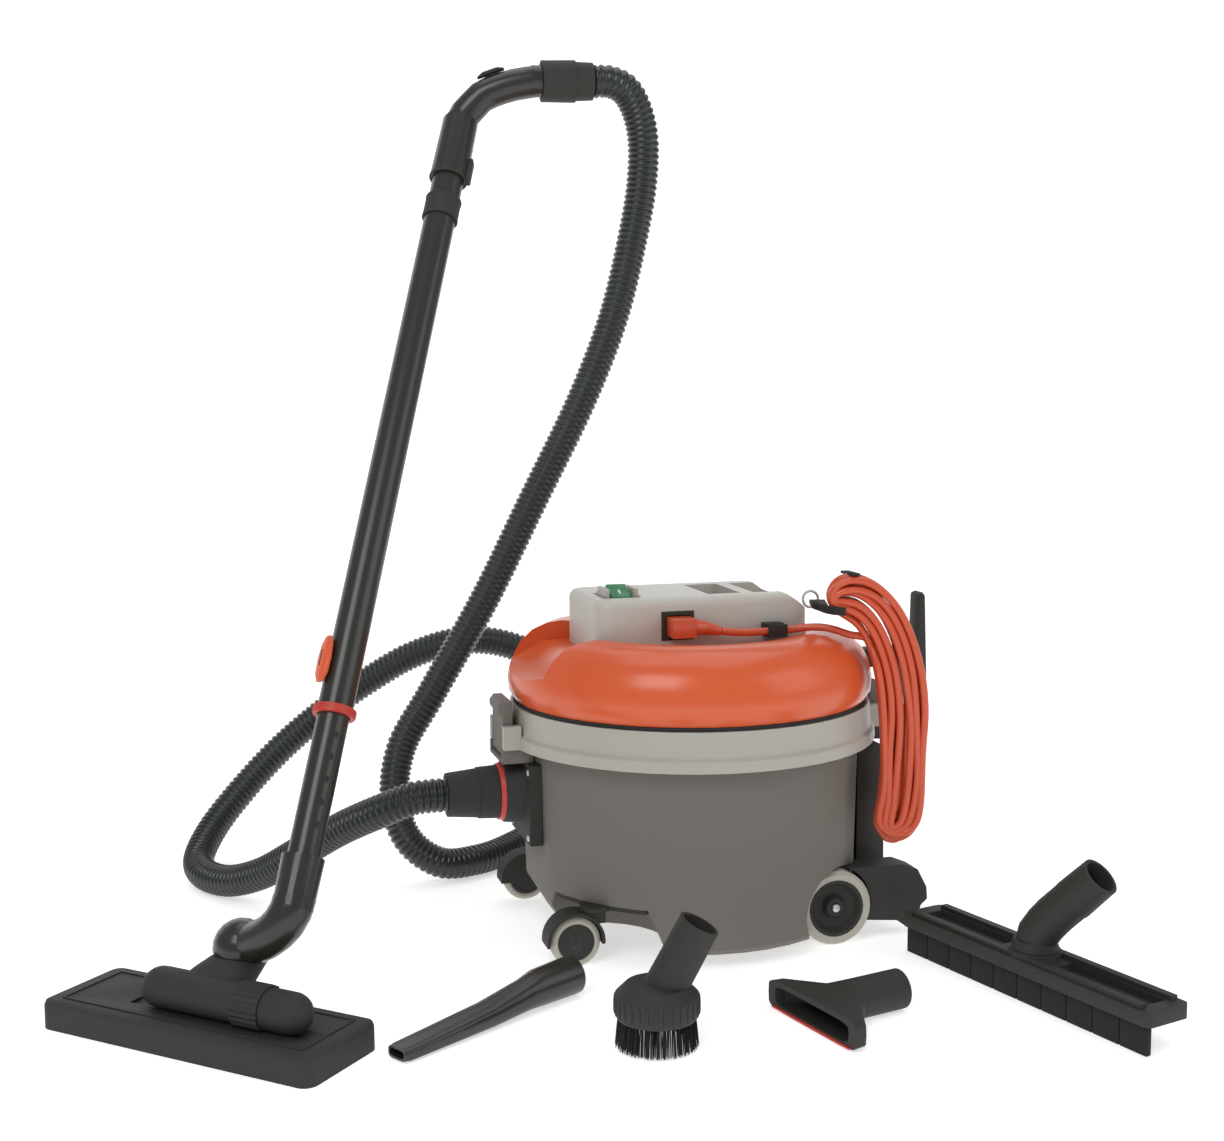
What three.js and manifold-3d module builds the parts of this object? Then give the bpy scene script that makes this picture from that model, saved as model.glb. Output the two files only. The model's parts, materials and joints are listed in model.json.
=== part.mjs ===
// Canister vacuum cleaner: a round tub with a lift-off motor head, hose, telescopic wand,
// floor tool and four loose tools. Millimetres, +Z up. The canister's length runs along X with
// the hose inlet at -X. The origin is the centre of the tub's flat underside.
import * as THREE from "three";
import { mergeVertices } from "three/addons/utils/BufferGeometryUtils.js";
import Module from "manifold-3d";

const wasm = await Module();
wasm.setup();

// ---------- driving dimensions ----------
const gap = 0.3; // between touching pieces
const runGap = 0.5; // between pieces that turn or slide on each other
const tubLift = 15; // tub underside above the floor
const tubRadius = 178;
const tubTaper = 4; // how much less the radius is at the bottom
const tubWall = 3.5;
const tubTop = 228; // rim, above the floor
const ringBottom = tubTop - 26;
const ringTop = tubTop + 13;
const ringFlange = tubRadius + 18; // outer radius of the flared skirt
const headRadius = tubRadius + 14;
const headBottom = ringTop + 4;
const ridgeRadius = headRadius - 51; // crest of the orange dome
const ridgeTop = headBottom + 72;
const channelFloor = ridgeTop - 20; // lengthwise channel the console sits in
const channelWidth = 144;
const consoleLength = 230;
const consoleWidth = 130;
const consoleTop = ridgeTop + 37;
const consoleMiddle = -3; // X of the console's centre
const slotWidth = 80; // carry slots, across the console
const slotBottom = consoleTop - 42;
const gripBarWidth = 14;
const gripBarBottom = consoleTop - 16;
const frontSlot = [8, 44]; // X range
const rearSlotLength = 40;
const rearWheelRadius = 38.5;
const rearWheelWidth = 24;
const rearWheelX = tubRadius - 64;
const rearWheelSide = tubRadius - 55; // Y of a rear wheel's middle
const axleRadius = 4;
const casterRadius = 25;
const casterWidth = 20;
const casterTrail = 22;
const casterReach = tubRadius / 89;
const casterPivot = [-67 * casterReach, 56 * casterReach]; // X and Y of a caster's swivel axis
const casterWell = casterTrail + casterRadius + 10; // radius at the top
const casterWellFlare = 26; // how much wider a well is at the floor
const casterWellTop = 2 * casterRadius + 10;
const stemRadius = 7;
const inletHeight = tubTop - 76;
const inletBossRadius = 34;
const inletBore = 24;
const inletPlate = [90, 84]; // width and height
const cuffLength = 52;
const hoseDiameter = 36;
const upperTubeDiameter = 33;
const lowerTubeDiameter = 30;
const tubeWall = 0.9;
const handleRadius = 17;
const cordDiameter = 8;
const latchWidth = 52;
const motorRadius = 72;
const bagRadius = tubRadius - 30;
const toolLength = 300;
const toolDepth = 100;
const toolHeight = 26;
const barrelRadius = 18.5;
const barrelLength = 180;
const toolSocket = 31; // bore of every loose tool's round end
const socketWall = 2.8;
const creviceLength = 212;
const dustingRadius = 37;
const upholsteryWidth = 130;
const brushLength = 317;
const brushDepth = 52;

// ---------- materials ----------
const paint = (hex, roughness = 0.55, metalness = 0) =>
  new THREE.MeshStandardMaterial({ color: hex, roughness, metalness });
const taupe = paint(0x6e695f);
const lightGrey = paint(0xa8a49b);
const consoleGrey = paint(0xb9b6ad, 0.6);
const orange = paint(0xd7552a, 0.4);
const black = paint(0x26261f, 0.5);
const hoseBlack = paint(0x232626, 0.35);
const cordRed = paint(0xd2502d, 0.4);
const red = paint(0xc8372a, 0.45);
const green = paint(0x1f7a45, 0.35);
const steel = paint(0xb8b8b8, 0.25, 1);
const tyreGrey = paint(0xb4b0a4, 0.8);
const paper = paint(0xd9d2c0, 0.9);
const bristle = paint(0x1b1b18, 0.9);

// ---------- solids ----------
const V = (x, y, z) => new THREE.Vector3(x, y, z);

function solid(geometry, matrix) {
  const bare = geometry.index ? geometry.toNonIndexed() : geometry.clone();
  for (const name of Object.keys(bare.attributes))
    if (name !== "position") bare.deleteAttribute(name);
  if (matrix) bare.applyMatrix4(matrix);
  const merged = mergeVertices(bare, 1e-4);
  const triVerts = new Uint32Array(merged.index.array);
  const vertProperties = merged.attributes.position.array;
  const made = new wasm.Manifold(new wasm.Mesh({ numProp: 3, vertProperties, triVerts }));
  if (made.volume() > 0) return made;
  const turnedOut = triVerts.map((_, i) => triVerts[3 * Math.floor(i / 3) + 2 - (i % 3)]);
  return new wasm.Manifold(new wasm.Mesh({ numProp: 3, vertProperties, triVerts: turnedOut }));
}

function geometryOf(manifold) {
  const mesh = manifold.getMesh();
  return new THREE.BufferGeometry()
    .setAttribute("position", new THREE.BufferAttribute(mesh.vertProperties, 3))
    .setIndex(new THREE.BufferAttribute(mesh.triVerts, 1));
}

const join = (first, ...rest) => rest.reduce((sum, next) => sum.add(next), first);
const cut = (first, ...rest) => rest.reduce((left, next) => left.subtract(next), first);

function add(group, name, shape, material) {
  const geometry = shape.isBufferGeometry ? shape : geometryOf(shape);
  const mesh = new THREE.Mesh(geometry.index ? geometry.toNonIndexed() : geometry, material);
  mesh.geometry.computeVertexNormals();
  mesh.name = name;
  group.add(mesh);
  return mesh;
}

const move = (x, y, z) => new THREE.Matrix4().makeTranslation(x, y, z);

// A box between two corners.
function box(low, high) {
  const size = low.map((value, i) => high[i] - value);
  const centre = low.map((value, i) => (high[i] + value) / 2);
  return solid(new THREE.BoxGeometry(...size), move(...centre));
}

// A cone from one point to another.
function cone(from, to, radius, endRadius, sides = 24) {
  const along = to.clone().sub(from);
  const turn = new THREE.Quaternion().setFromUnitVectors(V(0, 1, 0), along.clone().normalize());
  const centre = from.clone().add(to).multiplyScalar(0.5);
  const matrix = new THREE.Matrix4().compose(centre, turn, V(1, 1, 1));
  return solid(new THREE.CylinderGeometry(endRadius, radius, along.length(), sides), matrix);
}

function cylinder(from, to, radius, sides = 24) {
  return cone(from, to, radius, radius, sides);
}

// A profile of [radius, height] points turned about the Z axis.
function turned(profile, sides = 40) {
  const points = profile.map(([r, z]) => new THREE.Vector2(r, z));
  const first = profile[0];
  const last = profile[profile.length - 1];
  if (first[0] > 0 || last[0] > 0) points.push(points[0].clone());
  const lathe = new THREE.LatheGeometry(points, sides);
  lathe.rotateX(Math.PI / 2);
  return solid(lathe);
}

function outline(points) {
  const shape = new THREE.Shape();
  points.forEach(([x, y], i) => (i ? shape.lineTo(x, y) : shape.moveTo(x, y)));
  shape.closePath();
  return shape;
}

// A rounded rectangle, corner radius r.
function roundedRect(width, height, r) {
  const w = width / 2;
  const h = height / 2;
  const shape = new THREE.Shape();
  shape.moveTo(-w + r, -h);
  shape.lineTo(w - r, -h);
  shape.absarc(w - r, -h + r, r, -Math.PI / 2, 0, false);
  shape.lineTo(w, h - r);
  shape.absarc(w - r, h - r, r, 0, Math.PI / 2, false);
  shape.lineTo(-w + r, h);
  shape.absarc(-w + r, h - r, r, Math.PI / 2, Math.PI, false);
  shape.lineTo(-w, -h + r);
  shape.absarc(-w + r, -h + r, r, Math.PI, 1.5 * Math.PI, false);
  return shape;
}

// A shape raised along Z from one height to another.
function raised(shape, low, high, curveSegments = 4) {
  const geometry = new THREE.ExtrudeGeometry(shape, {
    depth: high - low,
    bevelEnabled: false,
    curveSegments,
  });
  return solid(geometry, move(0, 0, low));
}

// An outline in X and Z carried along Y from one side to the other.
function acrossY(points, low, high) {
  const flat = raised(outline(points), -high, -low);
  return turnedOnto(flat, new THREE.Matrix4().makeRotationX(Math.PI / 2));
}

function turnedOnto(manifold, matrix) {
  return solid(geometryOf(manifold), matrix);
}

// A round section carried along a curve.
function swept(curve, radius, sides, steps) {
  const angles = Array.from({ length: sides }, (_, i) => (2 * Math.PI * i) / sides);
  const section = outline(angles.map((a) => [radius * Math.cos(a), radius * Math.sin(a)]));
  return solid(new THREE.ExtrudeGeometry(section, { steps, extrudePath: curve }));
}

// Superellipse sections joined into one closed skin. Each section has a centre, two axes
// with half sizes, and an exponent: 2 is an ellipse, more is squarer.
function loft(sections, sides = 24) {
  const positions = [];
  const indices = [];
  for (const { centre, across, up, a, b, power = 2 } of sections)
    for (let i = 0; i < sides; i++) {
      const angle = (2 * Math.PI * i) / sides;
      const c = Math.cos(angle);
      const s = Math.sin(angle);
      const x = a * Math.sign(c) * Math.abs(c) ** (2 / power);
      const y = b * Math.sign(s) * Math.abs(s) ** (2 / power);
      positions.push(...centre.map((value, k) => value + x * across[k] + y * up[k]));
    }
  const last = sections.length - 1;
  for (let s = 0; s < last; s++)
    for (let i = 0; i < sides; i++) {
      const next = (i + 1) % sides;
      const [p, q] = [s * sides + i, s * sides + next];
      indices.push(p, q, q + sides, p, q + sides, p + sides);
    }
  for (let i = 1; i < sides - 1; i++) {
    indices.push(0, i + 1, i);
    indices.push(last * sides, last * sides + i, last * sides + i + 1);
  }
  const geometry = new THREE.BufferGeometry();
  geometry.setAttribute("position", new THREE.Float32BufferAttribute(positions, 3));
  geometry.setIndex(indices);
  return solid(geometry);
}

// ---------- groups ----------
const vacuum = new THREE.Group();
const floorFrame = new THREE.Group(); // heights below are measured from the floor
floorFrame.position.z = -tubLift;
vacuum.add(floorFrame);

// ---------- tub and running gear ----------
const plateTop = inletHeight + 35;
const plateBottom = plateTop - inletPlate[1];
const plateOuter = -tubRadius - 6;
const plateInner = -tubRadius + 7;
const latchPivot = { x: ringFlange + 7, z: ringBottom - 5 };
const earBottom = plateTop + gap;
const earTop = ringBottom - runGap;

// The moulded ears and ledge that a latch turns on; side is -1 in front and 1 behind.
function latchEars(side) {
  const inner = side * (tubRadius - 1);
  const outer = side * (latchPivot.x + 6);
  const [low, high] = [Math.min(inner, outer), Math.max(inner, outer)];
  const ledge = box([low, -32, earBottom], [high, 32, latchPivot.z - 5.5]);
  const ear = (y) => box([low, y, earBottom], [high, y + 5.5, earTop]);
  return join(ledge, ear(latchWidth / 2 + runGap), ear(-latchWidth / 2 - runGap - 5.5));
}

function tub() {
  const low = tubRadius - tubTaper;
  const outer = turned([
    [0, tubLift],
    [low - 6, tubLift],
    [low, tubLift + 6],
    [tubRadius, ringBottom - 8],
    [tubRadius, tubTop],
    [0, tubTop],
  ]);
  const hollow = turned([
    [0, tubLift + 4],
    [low - tubWall - 5, tubLift + 4],
    [low - tubWall, tubLift + 10],
    [tubRadius - tubWall, ringBottom - 8],
    [tubRadius - tubWall, tubTop + 1],
    [0, tubTop + 1],
  ]);
  const wheelSpace = (side, grow) => {
    const inner = side * (rearWheelSide - rearWheelWidth / 2 - 5 - grow);
    return cylinder(
      V(rearWheelX, inner, rearWheelRadius),
      V(rearWheelX, side * (tubRadius + 4), rearWheelRadius),
      rearWheelRadius + 4 + grow,
      28,
    );
  };
  const casterSpace = (side, grow) =>
    cone(
      V(casterPivot[0], side * casterPivot[1], 0),
      V(casterPivot[0], side * casterPivot[1], casterWellTop + grow),
      casterWell + casterWellFlare + grow,
      casterWell + grow,
      28,
    );
  const tunnel = (width, top) =>
    box([rearWheelX - width / 2, -tubRadius, 0], [rearWheelX + width / 2, tubRadius, top]);
  const noseWedge = (back, top) =>
    acrossY(
      [
        [-tubRadius - 2, 0],
        [-tubRadius + back, 0],
        [-tubRadius + 4, top],
        [-tubRadius - 2, top],
      ],
      -62,
      62,
    );
  const axleTop = rearWheelRadius + axleRadius;
  const room = cut(
    hollow,
    ...[-1, 1].map((side) => wheelSpace(side, tubWall)),
    ...[-1, 1].map((side) => casterSpace(side, tubWall)),
    tunnel(2 * axleRadius + 8, axleTop + 4),
    noseWedge(48, casterWellTop + 6),
  );
  const shell = cut(
    outer,
    room,
    ...[-1, 1].map((side) => wheelSpace(side, 0)),
    ...[-1, 1].map((side) => casterSpace(side, 0)),
    tunnel(2 * axleRadius + 1, axleTop + 0.5),
    noseWedge(40, casterWellTop),
    box(
      [plateOuter - 20, -inletPlate[0] / 2 - gap, plateBottom - gap],
      [plateInner + gap, inletPlate[0] / 2 + gap, plateTop + gap],
    ),
  );
  const ears = cut(latchEars(-1), cylinder(V(0, 0, 0), V(0, 0, 300), tubRadius - 1, 48));
  return join(shell, ears);
}

function inletSocket() {
  const plate = box(
    [plateOuter, -inletPlate[0] / 2, plateBottom],
    [plateInner, inletPlate[0] / 2, plateTop],
  );
  const at = (x) => V(x, 0, inletHeight);
  const boss = cone(at(plateOuter + 1), at(-tubRadius - 26), inletBossRadius, inletBossRadius - 2, 32);
  const bore = cylinder(at(-tubRadius - 40), at(-tubRadius + 20), inletBore, 28);
  return cut(join(plate, boss), bore);
}

const ringFace = -tubRadius - 26 - gap;
const ringThickness = 5;

function inletRing() {
  const disc = cone(V(ringFace, 0, inletHeight), V(ringFace - ringThickness, 0, inletHeight), 30, 29, 32);
  const at = (x) => V(x, 0, inletHeight);
  const bore = cylinder(at(ringFace + 5), at(ringFace - 10), inletBore, 28);
  return cut(disc, bore);
}

const cuffStart = ringFace - ringThickness - runGap;
const cuffEnd = cuffStart - cuffLength;

function inletCuff() {
  const at = (x) => V(x, 0, inletHeight);
  const spigot = cylinder(at(cuffStart + 26), at(cuffStart - 1), inletBore - runGap, 24);
  const collar = cone(at(cuffStart), at(cuffStart - 20), 27.5, 26.5, 24);
  const sleeve = cone(at(cuffStart - 19), at(cuffEnd), 25.5, 22.5, 24);
  const bore = cylinder(at(cuffStart + 30), at(cuffEnd - 5), hoseDiameter / 2 - 1, 24);
  return cut(join(spigot, collar, sleeve), bore);
}

function rearPanel() {
  const slab = box([tubRadius - 30, -70, 29], [tubRadius + 17, 70, earBottom + 1]);
  const round = cylinder(V(0, 0, 0), V(0, 0, 300), tubRadius + gap, 72);
  return cut(join(slab, latchEars(1)), round);
}

// A skid arm behind a rear wheel; side is -1 or 1.
function skid(side) {
  const back = tubRadius + 41;
  const profile = [
    [tubRadius - 60, 77],
    [back - 28, 76],
    [back - 11, 69],
    [back - 1, 50],
    [back, 37],
    [back - 7, 31],
    [back - 14, 10],
    [back - 23, 9],
    [back - 34, 17],
    [tubRadius - 60, 24],
  ];
  const sides = [side * (rearWheelSide - 26), side * (rearWheelSide + 3)];
  const arm = acrossY(profile, Math.min(...sides), Math.max(...sides));
  const round = cylinder(V(0, 0, 0), V(0, 0, 300), tubRadius + gap, 72);
  const wheel = cylinder(
    V(rearWheelX, side * (rearWheelSide - rearWheelWidth / 2 - 4), rearWheelRadius),
    V(rearWheelX, side * 200, rearWheelRadius),
    rearWheelRadius + 3,
    32,
  );
  return cut(arm, round, wheel);
}

// A wheel part about the Y axis: a profile of [radius, sideways] points.
function wheelPart(profile, sides = 28) {
  return turnedOnto(turned(profile, sides), new THREE.Matrix4().makeRotationX(Math.PI / 2));
}

function tyre() {
  const half = rearWheelWidth / 2;
  const rim = rearWheelRadius - 9;
  return wheelPart([
    [rim, -half + 1],
    [rearWheelRadius - 3, -half],
    [rearWheelRadius, -half + 4],
    [rearWheelRadius, half - 4],
    [rearWheelRadius - 3, half],
    [rim, half - 1],
  ]);
}

function hub() {
  const half = rearWheelWidth / 2 - 1;
  const rim = rearWheelRadius - 9 - gap;
  const bore = axleRadius + gap;
  return wheelPart([
    [bore, -half + 3],
    [bore, half - 3],
    [9, half - 3],
    [12, half - 9],
    [22, half - 7],
    [rim - 3, half],
    [rim, half],
    [rim, -half],
    [rim - 3, -half],
    [22, -half + 7],
    [12, -half + 9],
    [9, -half + 3],
  ]);
}

function rearAxle() {
  const end = rearWheelSide + rearWheelWidth / 2 - 3.5;
  const at = (y) => V(rearWheelX, y, rearWheelRadius);
  return cylinder(at(-end), at(end), axleRadius, 20);
}

const mountBottom = casterWellTop - 4.5;

// The black carrier under a front corner of the tub, which a caster turns in.
function casterMount(side) {
  const at = (z) => V(casterPivot[0], side * casterPivot[1], z);
  const top = casterWellTop - gap;
  const disc = cylinder(at(mountBottom), at(top), casterWell - 2, 32);
  const edge = cylinder(V(0, 0, 0), V(0, 0, 100), tubRadius - tubTaper, 48);
  const boss = cylinder(at(mountBottom), at(top), 16, 20);
  const bore = cylinder(at(0), at(top + 5), stemRadius + gap, 16);
  return cut(join(disc.intersect(edge), boss), bore);
}

// The hooded fork of a caster, about its own swivel axis, wheel towards -X. Its cheek is on
// the canister's inner side; inner is 1 or -1 along Y.
function casterFork(inner) {
  const half = casterWidth / 2;
  const hoodRadius = casterRadius + 4.5;
  const at = (y) => V(-casterTrail, inner * y, casterRadius);
  const across = (y0, y1, r, sides) => cylinder(at(y0), at(y1), r, sides);
  const slab = (x0, x1, y0, y1, z0, z1) =>
    box([x0, Math.min(inner * y0, inner * y1), z0], [x1, Math.max(inner * y0, inner * y1), z1]);
  const hood = across(-half - 1, half + 4.5, hoodRadius, 28);
  const hollow = across(-half - 3, half + 1, casterRadius + 1.5, 28);
  const lower = slab(-100, 50, -50, 50, -20, casterRadius - 3);
  const bracketTop = casterRadius + hoodRadius;
  const bracket = slab(-16, 8, -half + 1, half + 2, bracketTop - 12, bracketTop);
  const stem = cylinder(V(0, 0, bracketTop - 7), V(0, 0, casterWellTop - 0.6), stemRadius, 16);
  const axle = across(-half + 1, half + 3, axleRadius - 0.5, 14);
  const cheek = across(half + 1, half + 4.5, 12, 20);
  return join(cut(join(hood, bracket), hollow, lower), stem, cheek, axle);
}

function casterWheel() {
  const half = casterWidth / 2 - runGap;
  const bore = axleRadius - 0.5 + gap;
  return wheelPart(
    [
      [bore, -half],
      [casterRadius - 8, -half + 1.5],
      [casterRadius - 4, -half],
      [casterRadius, -half + 3],
      [casterRadius, half - 3],
      [casterRadius - 4, half],
      [casterRadius - 8, half - 1.5],
      [bore, half],
    ],
    24,
  );
}

function dustBag() {
  return turned(
    [
      [0, 34],
      [60, 36],
      [80, 46],
      [bagRadius - 30, 82],
      [bagRadius, 90],
      [bagRadius, tubTop - 63],
      [bagRadius - 22, tubTop - 40],
      [0, tubTop - 36],
    ],
    32,
  );
}

// A latch plate in front of the clamp ring, hinged on the ears; side is -1 or 1.
function latch(side) {
  const inner = side * (ringFlange + 1);
  const outer = side * (latchPivot.x + 4);
  const [low, high] = [Math.min(inner, outer), Math.max(inner, outer)];
  const half = latchWidth / 2;
  const plate = box([low, -half, latchPivot.z], [high, half, ringTop + 9]);
  const lipOutline = [
    [outer, ringTop + 9],
    [outer + side * 4, ringTop + 5],
    [outer + side * 4, ringTop - 1],
    [outer, ringTop - 7],
  ];
  const lip = acrossY(lipOutline, -half + 4, half - 4);
  const onPivot = (y) => V(side * latchPivot.x, y, latchPivot.z);
  const barrel = cylinder(onPivot(-half), onPivot(half), 4.5, 16);
  return join(plate, barrel, lip);
}

// ---------- head ----------
function clampRing() {
  const bore = tubRadius + 0.6;
  const ring = turned(
    [
      [bore, ringBottom],
      [ringFlange - 0.5, ringBottom],
      [ringFlange, ringBottom + 2],
      [ringFlange - 1, ringBottom + 11],
      [ringFlange - 4.5, ringBottom + 14],
      [ringFlange - 6.5, ringTop],
      [tubRadius - 12, ringTop],
      [tubRadius - 12, tubTop + 1],
      [bore, tubTop + 1],
    ],
    48,
  );
  const half = latchWidth / 2;
  const cheek = (side, y) => {
    const ends = [side * (ringFlange - 6), side * (latchPivot.x + 5)];
    return box([Math.min(...ends), y, ringBottom], [Math.max(...ends), y + 9, ringBottom + 24]);
  };
  const cheeks = [-1, 1].flatMap((side) => [cheek(side, half + 1), cheek(side, -half - 10)]);
  return join(ring, ...cheeks);
}

function headSeal() {
  const outer = headRadius - 5;
  return turned(
    [
      [outer - 30, ringTop + gap],
      [outer, ringTop + gap],
      [outer, headBottom - gap],
      [outer - 30, headBottom - gap],
    ],
    48,
  );
}

function headShell() {
  const r = headRadius;
  const dome = turned(
    [
      [0, ridgeTop - 15],
      [60, ridgeTop - 15],
      [r - 97, ridgeTop - 13],
      [r - 77, ridgeTop - 6],
      [r - 64, ridgeTop - 1.5],
      [ridgeRadius, ridgeTop],
      [r - 37, ridgeTop - 2],
      [r - 22, ridgeTop - 9],
      [r - 11, ridgeTop - 20],
      [r - 4, ridgeTop - 33],
      [r, ridgeTop - 50],
      [r - 1, headBottom + 8],
      [r - 6, headBottom],
      [r - 34, headBottom],
      [r - 36, headBottom + 14],
      [r - 62, channelFloor - 12],
      [0, channelFloor - 12],
    ].reverse(),
    64,
  );
  const half = channelWidth / 2;
  const end = r + 10;
  const channel = acrossY(
    [
      [-end, channelFloor - 30],
      [-r + 50, channelFloor],
      [r - 70, channelFloor],
      [end, channelFloor - 24],
      [end, ridgeTop + 20],
      [-end, ridgeTop + 20],
    ],
    -half,
    half,
  );
  return cut(dome, channel);
}

const consoleFront = consoleMiddle - consoleLength / 2;
const consoleRear = consoleMiddle + consoleLength / 2;
const consoleSide = consoleWidth / 2;
const rearSlot = [frontSlot[1] + gripBarWidth, frontSlot[1] + gripBarWidth + rearSlotLength];
const switchWell = { x: [-104, -64], y: [-42, 4], floor: consoleTop - 12 };
const socketBox = { x: [-50, -16], z: [consoleTop - 42, consoleTop - 13] };
const socketDepth = 6;

function consoleBody() {
  const plan = roundedRect(consoleLength - 16, consoleWidth - 16, 12);
  const bottom = channelFloor + gap;
  const geometry = new THREE.ExtrudeGeometry(plan, {
    depth: consoleTop - bottom,
    bevelSize: 8,
    bevelThickness: 8,
    bevelSegments: 3,
    curveSegments: 5,
  });
  const block = solid(geometry, move(consoleMiddle, 0, bottom - 8));
  const below = box([-200, -100, bottom - 20], [200, 100, bottom]);
  const half = slotWidth / 2;
  const slot = ([x0, x1]) => box([x0, -half, slotBottom], [x1, half, consoleTop + 10]);
  const underBar = box([frontSlot[0] + 1, -half, slotBottom], [rearSlot[1] - 1, half, gripBarBottom]);
  const well = box(
    [switchWell.x[0], switchWell.y[0], switchWell.floor],
    [switchWell.x[1], switchWell.y[1], consoleTop + 10],
  );
  const pocket = box(
    [socketBox.x[0] - gap, -100, socketBox.z[0] - gap],
    [socketBox.x[1] + gap, -consoleSide + socketDepth, socketBox.z[1] + gap],
  );
  const rearSlope = acrossY(
    [
      [consoleRear - 26, consoleTop + 0.5],
      [consoleRear + 5, consoleTop - 22],
      [consoleRear + 5, consoleTop + 0.5],
    ],
    -100,
    100,
  );
  return cut(block, below, slot(frontSlot), slot(rearSlot), underBar, well, pocket, rearSlope);
}

const rockerHinge = { y: -19, z: consoleTop - 4 };
const rockerHalf = 12; // half its width in X
const wellMiddle = (switchWell.x[0] + switchWell.x[1]) / 2;

function switchBezel() {
  const { x, y, floor } = switchWell;
  const base = box([x[0] + gap, y[0] + gap, floor + gap], [x[1] - gap, y[1] - gap, floor + 3]);
  const rib = (x0) => box([x0, -37, floor + 2], [x0 + 5, -1, consoleTop + 3]);
  return join(base, rib(wellMiddle - rockerHalf - runGap - 5), rib(wellMiddle + rockerHalf + runGap));
}

function switchRocker() {
  const { y, z } = rockerHinge;
  const profile = [
    [y - 15, z - 2.5],
    [y + 15, z - 2.5],
    [y + 15, z + 2.5],
    [y, z + 5],
    [y - 15, z + 2.5],
  ];
  const upright = new THREE.Matrix4().makeBasis(V(0, 1, 0), V(0, 0, 1), V(1, 0, 0));
  const flat = raised(outline(profile), wellMiddle - rockerHalf, wellMiddle + rockerHalf);
  const bar = turnedOnto(flat, upright);
  const tilt = new THREE.Matrix4()
    .makeTranslation(0, y, z)
    .multiply(new THREE.Matrix4().makeRotationX(THREE.MathUtils.degToRad(6)))
    .multiply(move(0, -y, -z));
  return turnedOnto(bar, tilt);
}

function powerSocket() {
  const { x, z } = socketBox;
  const face = -consoleSide - 1.5;
  const block = box([x[0], face, z[0]], [x[1], -consoleSide + socketDepth - gap, z[1]]);
  const hole = box([x[0] + 4, face - 1, z[0] + 4], [x[1] - 4, -consoleSide + 3, z[1] - 4]);
  return cut(block, hole);
}

const reliefEnd = V(8, -79, socketBox.z[0] + 9);

// The angled connector in the socket, with its tapered strain relief.
function cordConnector() {
  const { x, z } = socketBox;
  const body = box([x[0] + 5, -90, z[0] + 5], [x[1] - 5, -consoleSide + 3 - gap, z[1] - 5]);
  const arm = cone(V(x[1] - 12, -79, z[0] + 15), V(x[1] + 8, -79, z[0] + 13), 9, 7, 16);
  const relief = cone(V(x[1] + 6, -79, z[0] + 13), reliefEnd, 6.6, 4.8, 16);
  return join(body, arm, relief);
}

const clipAt = V(67, -82, socketBox.z[0] + 7);

function cordClip() {
  const { x, y, z } = clipAt;
  const hold = cordDiameter / 2 + 0.6;
  const block = box([x - 10, y - hold - 2, z - hold - 1.2], [x + 10, -consoleSide - gap, z + 7]);
  const bore = cylinder(V(x - 20, y, z), V(x + 20, y, z), hold, 12);
  const mouth = box([x - 20, y - 3, z], [x + 20, y + 3, z + 20]);
  return cut(block, bore, mouth);
}

function wireRing() {
  const torus = new THREE.TorusGeometry(8.5, 1.6, 8, 24);
  torus.rotateX(Math.PI / 2);
  return solid(torus, move(consoleRear + 10.6, -38, consoleTop - 10));
}

// The cord hook behind the head: a short arm with an upright bar.
function cordHook() {
  const armStart = headRadius + gap;
  const barOutline = [
    [66, -23],
    [78, -25],
    [81, -19],
    [77, 93],
    [74, 97],
    [69, 95],
  ];
  const bar = acrossY(barOutline.map(([x, z]) => [headRadius + x, headBottom + z]), -11, 11);
  const arm = box([armStart - 12, -11, headBottom + 17], [headRadius + 72, 11, headBottom + 37]);
  const head = cylinder(V(0, 0, headBottom - 45), V(0, 0, ridgeTop + 13), armStart, 72);
  return cut(join(arm, bar), head);
}

function motorHousing() {
  const top = channelFloor - 12 - gap;
  return turned(
    [
      [0, headBottom - 9],
      [motorRadius - 12, headBottom - 9],
      [motorRadius - 12, headBottom - 39],
      [motorRadius, headBottom - 39],
      [motorRadius, headBottom + 5],
      [motorRadius + 30, headBottom + 17],
      [motorRadius + 30, top],
      [0, top],
    ],
    36,
  );
}

function impeller() {
  const middle = headBottom - 21;
  const at = (z) => V(0, 0, middle + z);
  const round = (radius, low, high, sides) => cylinder(at(low), at(high), radius, sides);
  const disc = round(50, 8, 10, 36);
  const plate = round(50, -10, -8, 36);
  const hubCore = round(12, -9, 9, 20);
  const vane = (i) => {
    const angle = (2 * Math.PI * i) / 8;
    const turn = new THREE.Matrix4().makeRotationZ(angle);
    return solid(new THREE.BoxGeometry(40, 2, 19), turn.multiply(move(29, 0, middle)));
  };
  return join(disc, plate, hubCore, ...Array.from({ length: 8 }, (_, i) => vane(i)));
}

// ---------- cord ----------
// The cord was laid out round a head of this size. It follows the head when that changes.
const drawnHeadRadius = 192;
const drawnRim = 228;
const outward = headRadius - drawnHeadRadius;
const upward = tubTop - drawnRim;
const hankTurn = THREE.MathUtils.degToRad(-18);

// The lead from the strain relief, through the clip and over the dome, to the hank. The last
// number is the share of the head's growth that a point follows.
const leadPoints = [
  [8.5, -79, 320.9, 0],
  [24, -80.4, 319, 0],
  [40, -81.8, 318.6, 0],
  [54, -82, 319, 0],
  [67, -82, 319, 0],
  [80, -82, 319.2, 0],
  [94, -86, 321.5, 0.4],
  [108, -94, 323, 0.7],
  [123, -102.6, 320.8, 1],
  [138.75, -109.22, 314.5, 1],
  [153.96, -114.16, 314.5, 1],
];

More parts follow.
